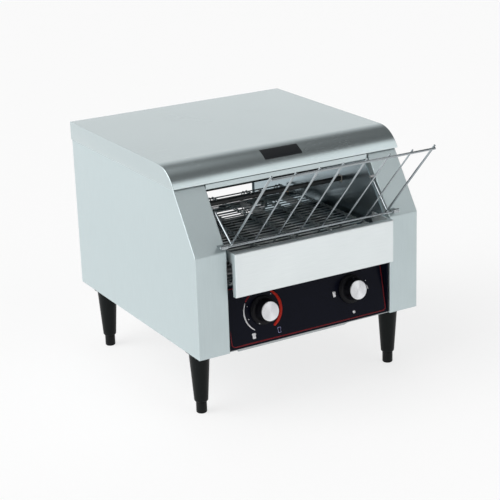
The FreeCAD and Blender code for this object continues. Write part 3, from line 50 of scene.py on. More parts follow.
MOUTH_HALF = 147.0
RETURN_DEPTH, SIDE_FOLD = 16.0, 1.7
STEEL_COLOUR = (0.605, 0.695, 0.71)
STEEL_SMUDGE = (0.53, 0.61, 0.625)


def socket(group, name, way, kind, start=None):
    made = group.interface.new_socket(name=name, in_out=way, socket_type="NodeSocket" + kind)
    if start is not None:
        made.default_value = start
    return made


def add_node(tree, kind, values=(), **settings):
    """Add a shader node; each value is a constant, or a socket that is linked to the input."""
    made = tree.nodes.new("ShaderNode" + kind)
    for name, setting in settings.items():
        setattr(made, name, setting)
    for key, value in dict(values).items():
        if isinstance(value, bpy.types.NodeSocket):
            tree.links.new(value, made.inputs[key])
        else:
            made.inputs[key].default_value = value
    return made


def brushed_grain_group():
    """Fine straight rolling lines, soft smudges, edge wear and a faint bump, as on sheet."""
    group = bpy.data.node_groups.new("brushed_grain", "ShaderNodeTree")
    socket(group, "Colour", "INPUT", "Color", (0.6, 0.6, 0.6, 1))
    socket(group, "Smudge Colour", "INPUT", "Color", (0.5, 0.5, 0.5, 1))
    socket(group, "Line Stretch", "INPUT", "Vector", (40, 900, 900))
    socket(group, "Roughness Low", "INPUT", "Float", 0.3)
    socket(group, "Roughness High", "INPUT", "Float", 0.4)
    socket(group, "Bump Height", "INPUT", "Float", 0.1)
    socket(group, "Wear Colour", "INPUT", "Color", (0.80, 0.84, 0.85, 1))
    socket(group, "Wear", "INPUT", "Float", 0.35)
    for name, kind in (("Colour", "Color"), ("Roughness", "Float"), ("Normal", "Vector")):
        socket(group, name, "OUTPUT", kind)
    given = group.nodes.new("NodeGroupInput").outputs
    place = add_node(group, "TexCoord").outputs["Object"]
    stretch = add_node(group, "VectorMath", {0: place, 1: given["Line Stretch"]},
                       operation="MULTIPLY").outputs[0]
    lines = add_node(group, "TexNoise", {"Vector": stretch, "Scale": 1.0, "Detail": 2.0,
                                         "Roughness": 0.5}).outputs[0]
    smudge = add_node(group, "TexNoise", {"Vector": place, "Scale": 9.0,
                                          "Detail": 3.0}).outputs[0]
    half = add_node(group, "Math", {0: smudge, 1: 0.5}, operation="MULTIPLY").outputs[0]
    amount = add_node(group, "Math", {0: lines, 1: 0.5, 2: half},
                      operation="MULTIPLY_ADD").outputs[0]
    colour = add_node(group, "Mix", data_type="RGBA")
    form = add_node(group, "NewGeometry").outputs["Pointiness"]
    edge = add_node(group, "MapRange", {"Value": form, "From Min": 0.515, "From Max": 0.60})
    rub = add_node(group, "Math", {0: edge.outputs["Result"], 1: smudge}, operation="MULTIPLY")
    worn = add_node(group, "Math", {0: rub.outputs[0], 1: given["Wear"]}, operation="MULTIPLY")
    rubbed = add_node(group, "Mix", data_type="RGBA")
    for mix, share, plain, other in (
            (colour, amount, given["Colour"], given["Smudge Colour"]),
            (rubbed, worn.outputs[0], colour.outputs["Result"], given["Wear Colour"])):
        group.links.new(share, mix.inputs["Factor"])
        group.links.new(plain, mix.inputs["A"])
        group.links.new(other, mix.inputs["B"])
    rough = add_node(group, "MapRange", {
        "Value": amount, "From Min": 0.3, "From Max": 0.7, "To Min": given["Roughness Low"],
        "To Max": given["Roughness High"]})
    bump = add_node(group, "Bump", {"Height": lines, "Distance": 0.00002,
                                    "Strength": given["Bump Height"]})
    ready = group.nodes.new("NodeGroupOutput").inputs
    group.links.new(rubbed.outputs["Result"], ready["Colour"])
    group.links.new(rough.outputs["Result"], ready["Roughness"])
    group.links.new(bump.outputs["Normal"], ready["Normal"])
    return group


brushed_grain = brushed_grain_group()


def grained(name, colour, smudge, stretch, low, high, height, **grain_values):
    """A material whose colour, gloss and bump come from the grain group, with its shader."""
    finish = bpy.data.materials.new(name)
    finish.use_nodes = True
    tree = finish.node_tree
    shader = tree.nodes["Principled BSDF"]
    grain = tree.nodes.new("ShaderNodeGroup")
    grain.node_tree = brushed_grain
    for key, value in (("Colour", (*colour, 1)), ("Smudge Colour", (*smudge, 1)),
                       ("Line Stretch", stretch), ("Roughness Low", low),
                       ("Roughness High", high), ("Bump Height", height),
                       *grain_values.items()):
        grain.inputs[key].default_value = value
    for made, taken in (("Colour", "Base Color"), ("Roughness", "Roughness"),
                        ("Normal", "Normal")):
        tree.links.new(grain.outputs[made], shader.inputs[taken])
    return finish, shader


def sheet_finish(name, colour, smudge, metal, stretch, low, high, height=0.1):
    """Satin sheet metal whose rolling lines run along the axis with the small stretch."""
    finish, shader = grained(name, colour, smudge, stretch, low, high, height)
    shader.inputs["Metallic"].default_value = metal
    return finish


def place_mesh(name, mesh, finish, body="cabinet", slot=None, stands_for=(), at=None):
    """Stand a mesh in metres in the scene as a named piece that rides on a body."""
    mesh.name = name
    mesh.materials.clear()
    mesh.materials.append(finish)
    mesh.shade_smooth()
    made = bpy.data.objects.new(name, mesh)
    bpy.context.scene.collection.objects.link(made)
    if at is not None:
        made.matrix_world = at
    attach(made, body)
    if stands_for:
        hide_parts(*stands_for)
    return made


def piece(name, bm, finish, **place):
    """Make a mesh drawn in millimetres into a named piece."""
    bmesh.ops.scale(bm, vec=(MM, MM, MM), verts=bm.verts)
    mesh = bpy.data.meshes.new(name)
    bm.to_mesh(mesh)
    bm.free()
    return place_mesh(name, mesh, finish, **place)


def soften(made, width=0.35, segments=2, angle=30):
    """Round the sheet's cut edges a little and keep its flat faces flat."""
    bevel = made.modifiers.new("soft_edges", "BEVEL")
    bevel.width = width * MM
    bevel.segments = segments
    bevel.limit_method = "ANGLE"
    bevel.angle_limit = math.radians(angle)
    weighted = made.modifiers.new("flat_faces", "WEIGHTED_NORMAL")
    weighted.weight = 100
    weighted.keep_sharp = True
    return made


def thicken(made, gauge=SHEET, side=-1):
    solid = made.modifiers.new("gauge", "SOLIDIFY")
    solid.thickness = gauge * MM
    solid.offset = side
    solid.use_even_offset = True
    return soften(made)


def add_face(bm, points):
    """A face through points, sharing corners that are already there."""
    corners = []
    for point in points:
        point = Vector(point)
        near = [v for v in bm.verts if (v.co - point).length < 1e-4]
        corners.append(near[0] if near else bm.verts.new(point))
    return bm.faces.new(corners)


def bend_edges(bm, test, radius, segments=4):
    """Round the folds whose two ends pass the test."""
    folds = [e for e in bm.edges if len(e.link_faces) == 2
             and all(test(v.co) for v in e.verts)]
    bmesh.ops.bevel(bm, geom=folds, offset=radius, offset_type="OFFSET", segments=segments,
                    profile=0.5, affect="EDGES", clamp_overlap=True)


def point_out(bm, centre):
    """Turn every face away from a point inside the cabinet."""
    for face in bm.faces:
        if face.normal.dot(face.calc_center_median() - Vector(centre)) < 0:
            face.normal_flip()


def front_line(depth):
    """Foot, knee and crest of the front edge, moved inward by a depth."""
    lean = (CREST_Y - FRONT) / (CREST_Z - KNEE_Z)
    stretch = math.sqrt(1 + lean * lean)
    return [(FRONT + depth, LEG_TOP), (FRONT + depth, KNEE_Z - depth * (stretch - 1) / lean),
            (CREST_Y + depth * stretch, CREST_Z)]


def side_panel(name, side, finish):
    """The wall and its flanges as one sheet, with every fold rounded."""
    rear_flange, bottom_flange = 20.0, 16.0
    top, lid_bend_y = 389.5, -108.0
    bm = bmesh.new()
    edge, inner = front_line(0), front_line(RETURN_DEPTH)
    out, mouth = side * BODY_HALF, side * MOUTH_HALF
    wall = edge + [(lid_bend_y, top), (BACK, top), (BACK, LEG_TOP)]
    add_face(bm, [(out, y, z) for y, z in wall])
    for (y0, z0), (y1, z1), (v0, w0), (v1, w1) in zip(edge, edge[1:], inner, inner[1:]):
        add_face(bm, [(out, y0, z0), (mouth, y0, z0), (mouth, y1, z1), (out, y1, z1)])
        add_face(bm, [(mouth, y0, z0), (mouth, v0, w0), (mouth, v1, w1), (mouth, y1, z1)])
    flange = out - side * rear_flange
    add_face(bm, [(out, BACK, LEG_TOP), (out, BACK, top), (flange, BACK, top),
                  (flange, BACK, LEG_TOP)])
    shelf = out - side * bottom_flange
    low = LEG_TOP + SHEET
    add_face(bm, [(out - side * SHEET, FRONT + 2 * SHEET, low), (shelf, FRONT + 2 * SHEET, low),
                  (shelf, BACK - 2 * SHEET, low), (out - side * SHEET, BACK - 2 * SHEET, low)])
    bm.normal_update()
    for face in bm.faces:
        middle = face.calc_center_median()
        away = Vector((side, 0, 0)) if abs(face.normal.x) > 0.9 else (
            Vector((0, -1, 0.2)) if middle.y < 0 and middle.z > low + 1 else
            Vector((0, 1, 0)) if middle.z > low + 1 else Vector((0, 0, -1)))
        if abs(face.normal.x) > 0.9 and abs(middle.x - mouth) < 1:
            away = Vector((-side, 0, 0))
        if face.normal.dot(away) < 0:
            face.normal_flip()
    bend_edges(bm, lambda p: p.z > low + 1 or p.z < low - 1, SIDE_FOLD)
    return thicken(piece(name + "_sheet", bm, finish, slot="cabinet_steel", stands_for=[name]))


side_steel = sheet_finish("side_steel", STEEL_COLOUR, STEEL_SMUDGE, 0.95, (900, 900, 30),
                          0.46, 0.54)
side_panel("left_side_panel", -1, side_steel)
side_panel("right_side_panel", 1, side_steel)


# Top cover: a loose lid in the same steel. Its front rolls down in one wide bend and its
# skirts hang 30 mm over the side panels and the back, each folded with a small radius.
LID_TOP, LID_FOOT = 391.0, 361.0
LID_BEND, LID_BEND_Y = 56.0, -108.0
LID_HALF, LID_BACK = 202.0, 214.8
LID_CORNER, LID_FOLD = 4.0, 0.9


def add_sheet(bm, line, half):
    """Faces that follow a line in side view, from one side to the other."""
    for (y0, z0), (y1, z1) in zip(line, line[1:]):
        add_face(bm, [(-half, y0, z0), (half, y0, z0), (half, y1, z1), (-half, y1, z1)])


def top_cover(finish):
    bend_steps = 20
    start = math.acos((LID_FOOT - (LID_TOP - LID_BEND)) / LID_BEND)
    profile = []
    for step in range(bend_steps + 1):
        angle = start * (1 - step / bend_steps)
        profile.append((LID_BEND_Y - LID_BEND * math.sin(angle),
                        LID_TOP - LID_BEND + LID_BEND * math.cos(angle)))
    profile += [(LID_BACK, LID_TOP), (LID_BACK, LID_FOOT)]
    bm = bmesh.new()
    add_sheet(bm, profile, LID_HALF)
    for side in (-1, 1):
        add_face(bm, [(side * LID_HALF, y, z) for y, z in profile])
    bm.normal_update()
    point_out(bm, (0, 0, LID_FOOT - 150))
    bend_edges(bm, lambda p: p.y > LID_BACK - 0.1 and abs(p.x) > LID_HALF - 0.1, LID_CORNER,
               5)
    bend_edges(bm, lambda p: abs(abs(p.x) - LID_HALF) < 0.1 and p.z > LID_FOOT - 1, LID_FOLD,
               3)
    return thicken(piece("top_cover_sheet", bm, finish, slot="cabinet_steel",
                         stands_for=["top_cover"]))


lid_steel = sheet_finish("lid_steel", STEEL_COLOUR, STEEL_SMUDGE, 0.95, (30, 900, 900),
                         0.23, 0.28, 0.02)
top_cover(lid_steel)


# Header strip: a narrow folded strip of the same steel behind the lid's lower edge, spot
# welded between the side panels. Its foot turns back as a lip that catches the light.
HEADER_HALF, HEADER_FOLD = 145.2, 1.2
HEADER_LINE = [(-152.5, 358.0), (-152.5, 349.5), (-138.5, 349.5)]


def folded_strip(name, line, half, finish, fold, outward, **place):
    """A folded sheet from one side to the other, its outer face turned outward."""
    bm = bmesh.new()
    add_sheet(bm, line, half)
    bm.normal_update()
    for face in bm.faces:
        if face.normal.dot(Vector(outward)) < 0:
            face.normal_flip()
    bend_edges(bm, lambda p: True, fold)
    return thicken(piece(name, bm, finish, **place))


header_steel = sheet_finish("header_steel", STEEL_COLOUR, STEEL_SMUDGE, 0.95, (30, 900, 900),
                            0.30, 0.38)
folded_strip("header_strip_sheet", HEADER_LINE, HEADER_HALF, header_steel, HEADER_FOLD,
             (0, -1, -1), slot="cabinet_steel", stands_for=["header_strip"])


# Front deflector: a shallow pan of bright steel in front of the belt. Its rim turns back all
# round and its two ears are screwed to the tunnel's walls.
DEFLECTOR_HALF, DEFLECTOR_FRONT, DEFLECTOR_FOLD = 142.4, -230.0, 2.0
DEFLECTOR_LOW, DEFLECTOR_HIGH, DEFLECTOR_RIM = 200.0, 269.0, 10.0
EAR_BACK, EAR_LOW, EAR_ROUND = -172.0, 252.0, 3.0
SCREW_HEAD, SCREW_RISE = 7.4, 2.2
EAR_SCREW_X, EAR_SCREW_Y, EAR_SCREW_Z = 140.9, -179.0, 264.0


def arc_points(centre, radius, start, end, steps=5):
    """Points along an arc, angles in degrees."""
    turns = [math.radians(start + (end - start) * step / steps) for step in range(steps + 1)]
    return [(centre[0] + radius * math.cos(t), centre[1] + radius * math.sin(t)) for t in turns]


def front_deflector(finish):
    half, front, back = DEFLECTOR_HALF, DEFLECTOR_FRONT, DEFLECTOR_FRONT + DEFLECTOR_RIM
    low, high = DEFLECTOR_LOW, DEFLECTOR_HIGH
    bm = bmesh.new()
    add_sheet(bm, [(front, low), (front, high)], half)
    for z in (low, high):
        add_sheet(bm, [(front, z), (back, z)], half)
    turn_y = EAR_BACK - EAR_ROUND
    ear = ([(front, low), (back, low), (back, EAR_LOW)]
           + arc_points((turn_y, EAR_LOW + EAR_ROUND), EAR_ROUND, -90, 0)
           + arc_points((turn_y, high - EAR_ROUND), EAR_ROUND, 0, 90)
           + [(back, high), (front, high)])
    for x in (-half, half):
        add_face(bm, [(x, y, z) for y, z in ear])
    bm.normal_update()
    point_out(bm, (0, back, (low + high) / 2))
    bend_edges(bm, lambda p: p.y < front + 0.1, DEFLECTOR_FOLD, 5)
    return thicken(piece("front_deflector_pan", bm, finish, slot="cabinet_steel",
                         stands_for=["front_deflector"]))


deflector_steel = sheet_finish("deflector_steel", (0.88, 0.93, 0.935), (0.72, 0.77, 0.78), 0.9,
                               (30, 900, 900), 0.34, 0.42, 0.01)
front_deflector(deflector_steel)


def ring_wall(bm, low, high):
    """Faces between two closed rings with the same number of corners."""
    for k in range(len(low)):
        after = (k + 1) % len(low)
        bm.faces.new((low[k], low[after], high[after], high[k]))


def ring_points(u, v, radius, steps=32):
    """Evenly spaced points round a circle."""
    return [(u + radius * math.cos(2 * math.pi * k / steps),
             v + radius * math.sin(2 * math.pi * k / steps)) for k in range(steps)]


def screw_head(bm, at, facing):
    """A flat-domed head with a cross recess, drawn at a point and facing an axis."""
    radius, steps = SCREW_HEAD / 2, 24
    turn = Vector((0, 0, 1)).rotation_difference(Vector(facing)).to_matrix()
    def loop(outline, height):
        return [bm.verts.new(Vector(at) + turn @ Vector((u, v, height))) for u, v in outline]
    dome = [(1.0, 0.0), (1.0, 0.45), (0.93, 0.72), (0.72, 0.93), (0.42, 1.0)]
    rings = [loop(ring_points(0, 0, radius * share, steps), SCREW_RISE * rise)
             for share, rise in dome]
    for ring, above in zip(rings, rings[1:]):
        ring_wall(bm, ring, above)
    reach, wide, deep = radius * 0.62, radius * 0.13, SCREW_RISE * 0.45
    cross = [(wide, wide), (wide, reach), (-wide, reach), (-wide, wide), (-reach, wide),
             (-reach, -wide), (-wide, -wide), (-wide, -reach), (wide, -reach), (wide, -wide),
             (reach, -wide), (reach, wide)]
    rim = rings[-1]
    top = loop(cross, SCREW_RISE)
    floor = loop([(u * 0.7, v * 0.7) for u, v in cross], SCREW_RISE - deep)
    edges = [bm.edges.new((a, b)) for a, b in zip(top, top[1:] + top[:1])]
    outer = [bm.edges.get((rim[k], rim[(k + 1) % steps])) for k in range(steps)]
    bmesh.ops.triangle_fill(bm, use_beauty=True, use_dissolve=False, edges=edges + outer,
                            normal=turn @ Vector((0, 0, 1)))
    ring_wall(bm, floor, top)
    bm.faces.new(floor)
    bm.faces.new(list(reversed(rings[0])))


def screws(name, places, facing, finish, stands_for):
    bm = bmesh.new()
    for place in places:
        screw_head(bm, place, facing(place))
    bmesh.ops.recalc_face_normals(bm, faces=bm.faces)
    made = piece(name, bm, finish, slot="fastener_steel", stands_for=[stands_for])
    made.data.set_sharp_from_angle(angle=math.radians(35))


screw_steel = sheet_finish("screw_steel", (0.60, 0.61, 0.62), (0.48, 0.48, 0.48), 0.85,
                           (300, 300, 300), 0.25, 0.45)
screws("deflector_screw_heads", [(x, EAR_SCREW_Y, EAR_SCREW_Z)
                                 for x in (-EAR_SCREW_X, EAR_SCREW_X)],
       lambda p: (-1 if p[0] > 0 else 1, 0, 0), screw_steel, "deflector_screws")


# Lid plate: a small plain plate of dark enamelled aluminium, 67 mm wide. It is curved like the
# lid's front bend and glued flat on it.
PLATE_LEFT, PLATE_RIGHT, PLATE_GAUGE = -36.5, 30.5, 0.5
PLATE_FROM, PLATE_TO = 19.5, 41.5


def enamel_finish(name, colour, dust, low, high, speck=0.02, shine=0.5):
    """Smooth paint or moulded plastic: slow colour drift, fine specks, varying gloss."""
    finish, shader = grained(name, colour, dust, (420, 420, 420), low, high, speck,
                             **{"Wear Colour": (*(3 * part for part in dust), 1)})
    shader.inputs["Specular IOR Level"].default_value = shine
    return finish


def cover_plate(finish):
    centre, reach = (LID_BEND_Y, LID_TOP - LID_BEND), LID_BEND + 0.05
    steps, border = 8, 6.0
    bm = bmesh.new()
    rows = []
    for step in range(steps + 1):
        angle = math.radians(PLATE_FROM + (PLATE_TO - PLATE_FROM) * step / steps)
        y, z = centre[0] - reach * math.sin(angle), centre[1] + reach * math.cos(angle)
        rows.append([bm.verts.new((x, y, z)) for x in (
            PLATE_LEFT, PLATE_LEFT + border, PLATE_RIGHT - border, PLATE_RIGHT)])
    for row, after in zip(rows, rows[1:]):
        for i in range(3):
            bm.faces.new((row[i], row[i + 1], after[i + 1], after[i]))
    bm.normal_update()
    point_out(bm, (0, centre[0], centre[1]))
    made = piece("lid_plate", bm, finish)
    solid = made.modifiers.new("gauge", "SOLIDIFY")
    solid.thickness = PLATE_GAUGE * MM
    solid.offset = 1
    soften(made, 0.15)


plate_enamel = enamel_finish("plate_enamel", (0.010, 0.012, 0.014), (0.016, 0.018, 0.02),
                             0.3, 0.42, shine=0.3)
cover_plate(plate_enamel)


# Control panel: a black enamelled sheet that leans back 12 degrees between the side panels,
# with a folded foot, two cheeks and a printed glossy face.
PANEL_HALF, PANEL_FOOT_Y, PANEL_FOOT_Z = 145.2, -210.0, 109.2
PANEL_TILT, PANEL_TOP, PANEL_GAUGE, PANEL_FOOT_DEPTH = 12.0, 205.0, 1.5, 18.0
PANEL_LONG = (PANEL_TOP - PANEL_FOOT_Z) / math.cos(math.radians(PANEL_TILT))
PANEL_FOLD, SPINDLE_HOLE = 0.5, 4.5
KNOB_X, KNOB_V, KNOB_Z = 80.5, 50.912, 159.0
panel_frame = (Matrix.Translation(Vector((0, PANEL_FOOT_Y, PANEL_FOOT_Z)) * MM)
               @ Matrix.Rotation(math.radians(90 - PANEL_TILT), 4, "X"))


def plate(name, outline, holes, gauge, edge=0.25):
    """A flat plate with holes, drawn in its own plane, as a mesh in metres."""
    drawn = bpy.data.curves.new(name, "CURVE")
    drawn.dimensions = "2D"
    drawn.fill_mode = "BOTH"
    for loop in [outline, *holes]:
        spline = drawn.splines.new("POLY")
        spline.points.add(len(loop) - 1)
        for point, (u, v) in zip(spline.points, loop):
            point.co = (u * MM, v * MM, 0, 1)
        spline.use_cyclic_u = True
    drawn.extrude = (gauge / 2 - edge) * MM
    drawn.bevel_depth = edge * MM
    drawn.bevel_resolution = 1
    drawn.offset = -edge * MM
    holder = bpy.data.objects.new(name, drawn)
    bpy.context.scene.collection.objects.link(holder)
    mesh = bpy.data.meshes.new_from_object(holder.evaluated_get(
        bpy.context.evaluated_depsgraph_get()))
    bpy.data.objects.remove(holder)
    bpy.data.curves.remove(drawn)
    return mesh


def plate_piece(name, mesh, finish, at, **place):
    """A plate as a named piece; its middle plane lies in the frame's plane."""
    made = place_mesh(name, mesh, finish, at=at, **place)
    mesh.set_sharp_from_angle(angle=math.radians(40))
    return made


def control_panel(finish):
    face = plate("control_panel_face", [(-PANEL_HALF, 0), (PANEL_HALF, 0),
                                        (PANEL_HALF, PANEL_LONG), (-PANEL_HALF, PANEL_LONG)],
                 [ring_points(x, KNOB_V, SPINDLE_HOLE) for x in (-KNOB_X, KNOB_X)], PANEL_GAUGE)
    plate_piece("control_panel_face", face, finish,
                panel_frame @ Matrix.Translation((0, 0, -PANEL_GAUGE / 2 * MM)),
                slot="panel_black", stands_for=["control_panel"])
    top_y = PANEL_FOOT_Y + (PANEL_TOP - PANEL_FOOT_Z) * math.tan(math.radians(PANEL_TILT))
    for side, name in ((-1, "left"), (1, "right")):
        bm = bmesh.new()
        add_face(bm, [(side * PANEL_HALF, y, z) for y, z in (
            (PANEL_FOOT_Y, PANEL_FOOT_Z), (top_y, PANEL_TOP), (PANEL_FOOT_Y, PANEL_TOP))])
        bm.normal_update()
        point_out(bm, (0, PANEL_FOOT_Y, PANEL_TOP))
        thicken(piece("control_panel_%s_cheek" % name, bm, finish, slot="panel_black"),
                PANEL_GAUGE)
    foot_line = [(PANEL_FOOT_Y, PANEL_FOOT_Z), (PANEL_FOOT_Y + PANEL_FOOT_DEPTH, PANEL_FOOT_Z)]
    folded_strip("control_panel_foot", foot_line, PANEL_HALF, finish, PANEL_FOLD, (0, 0, -1),
                 slot="panel_black")


panel_enamel = enamel_finish("panel_enamel", (0.0042, 0.0050, 0.011), (0.006, 0.007, 0.014),
                             0.16, 0.26, shine=0.07)
control_panel(panel_enamel)


# Panel print: a border line, and arcs, ticks, dots and slice pictures round the two dials.
# They are screen printed in thick white, red and lavender ink on the enamel.
PRINT_LIFT = 0.12
SPEED_ARC, DOT_CIRCLE, DOT_RADIUS = 33.0, 28.0, 0.7


def close_prism(bm, low, high):
    """A top face and the walls down to a lower loop of corners."""
    bm.faces.new(high)
    ring_wall(bm, low, high)


def bands(outer, inner):
    """Four-cornered pieces that fill the space between two outlines."""
    return [[a, b, d, c] for a, b, c, d in zip(outer, outer[1:] + outer[:1],
                                               inner, inner[1:] + inner[:1])]


def printed(name, loops, finish):
    """Flat printed shapes, each loop listed round its own outline in panel millimetres."""
    bm = bmesh.new()
    for loop in loops:
        low = [bm.verts.new((u, v, 0)) for u, v in loop]
        high = [bm.verts.new((u, v, PRINT_LIFT)) for u, v in loop]
        close_prism(bm, low, high)
    bmesh.ops.recalc_face_normals(bm, faces=bm.faces)
    return piece(name, bm, finish, slot="panel_black", at=panel_frame)


def swept_arc(u, v, radius, start, end, widths, steps=40):
    """An arc band whose width runs through the listed widths; both ends are round."""
    outer, inner = [], []
    for step in range(steps + 1):
        share = step / steps
        spot = share * (len(widths) - 1)
        index = min(int(spot), len(widths) - 2)
        width = widths[index] + (widths[index + 1] - widths[index]) * (spot - index)
        angle = math.radians(start + (end - start) * share)
        for side, reach in ((outer, radius + width / 2), (inner, radius - width / 2)):
            side.append((u + reach * math.cos(angle), v + reach * math.sin(angle)))
    way = 1 if end > start else -1
    def cap(angle, width, heading):
        u_end = u + radius * math.cos(angle)
        v_end = v + radius * math.sin(angle)
        turned = [(u_end + width / 2 * math.cos(angle + heading + t),
                   v_end + width / 2 * math.sin(angle + heading + t))
                  for t in (-1.0, -0.5, 0.0, 0.5, 1.0)]
        return turned if way > 0 else turned[::-1]
    tail = cap(math.radians(end), widths[-1], way * math.pi / 2)
    head = cap(math.radians(start), widths[0], -way * math.pi / 2)
    return outer + tail + inner[::-1] + head


def slice_picture(u, v, width, height, border=None):
    """A slice of bread: a square foot with a rounded loaf top, filled or as an outline."""
    def loaf(w, h):
        side = [(0.40, -0.5), (0.40, 0.08), (0.5, 0.18), (0.5, 0.34), (0.44, 0.44), (0.34, 0.5)]
        return ([(u + x * w, v + y * h) for x, y in side]
                + [(u - x * w, v + y * h) for x, y in reversed(side)])
    if border is None:
        return [loaf(width, height)]
    return bands(loaf(width, height), loaf(width - 2 * border, height - 2 * border))


def border_line(finish):
    """The dark red line round the panel, 1.9 mm wide with rounded corners."""
    half, low, high, radius, width = 141.3, 4.0, 93.5, 6.0, 1.9
    left, right, foot, head = radius - half, half - radius, low + radius, high - radius
    def line(grow):
        return [point for u, v, start in ((right, foot, -90), (right, head, 0),
                                          (left, head, 90), (left, foot, 180))
                for point in arc_points((u, v), radius + grow, start, start + 90, 6)]
    return printed("panel_border_line", bands(line(width / 2), line(-width / 2)), finish)


red_ink = enamel_finish("red_ink", (0.15, 0.009, 0.013), (0.12, 0.008, 0.012), 0.35, 0.45,
                        shine=0.15)
scarlet_ink = enamel_finish("scarlet_ink", (0.46, 0.018, 0.007), (0.38, 0.014, 0.006),
                            0.35, 0.45, shine=0.15)
white_ink = enamel_finish("white_ink", (0.74, 0.74, 0.76), (0.60, 0.60, 0.62), 0.4, 0.5)
lavender_ink = enamel_finish("lavender_ink", (0.22, 0.22, 0.38), (0.18, 0.18, 0.32), 0.4, 0.5)
border_line(red_ink)
printed("speed_arc_slow", [swept_arc(-KNOB_X, KNOB_V, SPEED_ARC, 152, 236,
                                     (1.2, 2.4, 2.2, 1.2))], white_ink)
printed("speed_arc_fast", [swept_arc(-KNOB_X, KNOB_V, SPEED_ARC - 1, 56, -56,
                                     (3.2, 5.0, 5.4, 4.6))], scarlet_ink)
printed("speed_arc_tip", [swept_arc(-KNOB_X, KNOB_V, SPEED_ARC, 128, 146, (3.0, 3.4, 2.4), 10)],
        red_ink)
dial_dots = [ring_points(-KNOB_X + DOT_CIRCLE * math.cos(math.radians(a)),
                         KNOB_V + DOT_CIRCLE * math.sin(math.radians(a)), DOT_RADIUS, 12)
             for a in (158, 200, 51)]
printed("speed_dots", dial_dots, white_ink)
printed("slice_small", slice_picture(-101.3, 14.4, 7.0, 8.5), white_ink)
printed("slice_dark", slice_picture(-56.2, 14.3, 6.5, 9.0, 0.9), lavender_ink)
printed("slice_one_side", slice_picture(49.7, 48.0, 6.0, 8.5), white_ink)
printed("selector_off_dot", [ring_points(81.7, 13.2, 2.5, 24)], white_ink)
printed("selector_marks", [[(110.7, 50.7), (111.9, 50.3), (113.3, 44.6), (112.5, 44.2)],
                           ring_points(110.3, 58.3, DOT_RADIUS, 12)], white_ink)


# Knobs: black moulded dials with a wide skirt, a waist and a slightly tapered grip, pushed on
# their spindles. Each carries a spun metal cap and printed ticks on the skirt.
KNOB_SKIRT, KNOB_WAIST, KNOB_GRIP, KNOB_HEIGHT = 23.0, 17.2, 16.2, 23.0
CAP_RADIUS, CAP_SEAT = 15.0, 22.1
knob_axis = Matrix.Rotation(math.radians(90 - PANEL_TILT), 4, "X")
knob_y = PANEL_FOOT_Y + (KNOB_Z - PANEL_FOOT_Z) * math.tan(math.radians(PANEL_TILT))
knob_frames = {side: Matrix.Translation(Vector((x, knob_y, KNOB_Z)) * MM) @ knob_axis
               for side, x in (("speed", -KNOB_X), ("selector", KNOB_X))}


def lathe(name, profile, finish, steps=64, **place):
    """Turn a profile of (radius, height) about the local Z axis; radius 0 closes an end."""
    bm = bmesh.new()
    rings = [[bm.verts.new((u, v, height)) for u, v in ring_points(0, 0, radius, steps)]
             if radius > 0 else [bm.verts.new((0, 0, height))] for radius, height in profile]
    for low, high in zip(rings, rings[1:]):
        if len(low) == len(high):
            ring_wall(bm, low, high)
            continue
        ring, tip = (high, low[0]) if len(low) == 1 else (low, high[0])
        for k in range(steps):
            bm.faces.new((tip, ring[k], ring[(k + 1) % steps]))
    bmesh.ops.recalc_face_normals(bm, faces=bm.faces)
    made = piece(name, bm, finish, **place)
    made.data.set_sharp_from_angle(angle=math.radians(32))


def rounded(corners, steps=4):
    """A turned profile with its corners rounded; a corner is (radius, height, rounding)."""
    line = []
    for index, corner in enumerate(corners):
        here = Vector(corner[:2])
        if len(corner) < 3 or index in (0, len(corners) - 1):
            line.append(tuple(here))
            continue
        before = (Vector(corners[index - 1][:2]) - here).normalized()
        after = (Vector(corners[index + 1][:2]) - here).normalized()
        half = before.angle(after) / 2
        reach = corner[2] / math.tan(half)
        centre = here + (before + after).normalized() * (corner[2] / math.sin(half))
        start, end = here + before * reach - centre, here + after * reach - centre
        sweep = start.angle_signed(end)
        for step in range(steps + 1):
            turn = Matrix.Rotation(-sweep * step / steps, 2)
            line.append(tuple(centre + turn @ start))
    return line


def knob(side, finish):
    well = CAP_RADIUS + 0.3
    profile = rounded([(3.05, 0.8), (KNOB_SKIRT - 0.2, 0.8, 0.4), (KNOB_SKIRT, 1.4, 0.3),
                       (KNOB_SKIRT - 0.4, 3.4, 0.8), (KNOB_WAIST + 2.0, 4.6, 1.5),
                       (KNOB_WAIST + 0.4, 6.6, 1.4), (KNOB_WAIST, 8.4, 1.0),
                       (KNOB_GRIP, KNOB_HEIGHT - 0.4, 1.1), (well + 0.1, KNOB_HEIGHT, 0.3),
                       (well, CAP_SEAT, 0.1), (0, CAP_SEAT)])
    lathe(side + "_knob_moulding", profile, finish, body=side + "_dial", slot="knob_black",
          stands_for=[side + "_knob"], at=knob_frames[side])


def knob_cap(side, finish):
    profile = rounded([(0, CAP_SEAT + 0.02), (CAP_RADIUS, CAP_SEAT + 0.02, 0.1),
                       (CAP_RADIUS, 23.6, 0.35), (CAP_RADIUS - 0.7, 23.95, 0.2), (0, 23.7)])
    lathe(side + "_knob_disc", profile, finish, body=side + "_dial", slot="knob_metal",
          stands_for=[side + "_knob_cap"], at=knob_frames[side], steps=96)


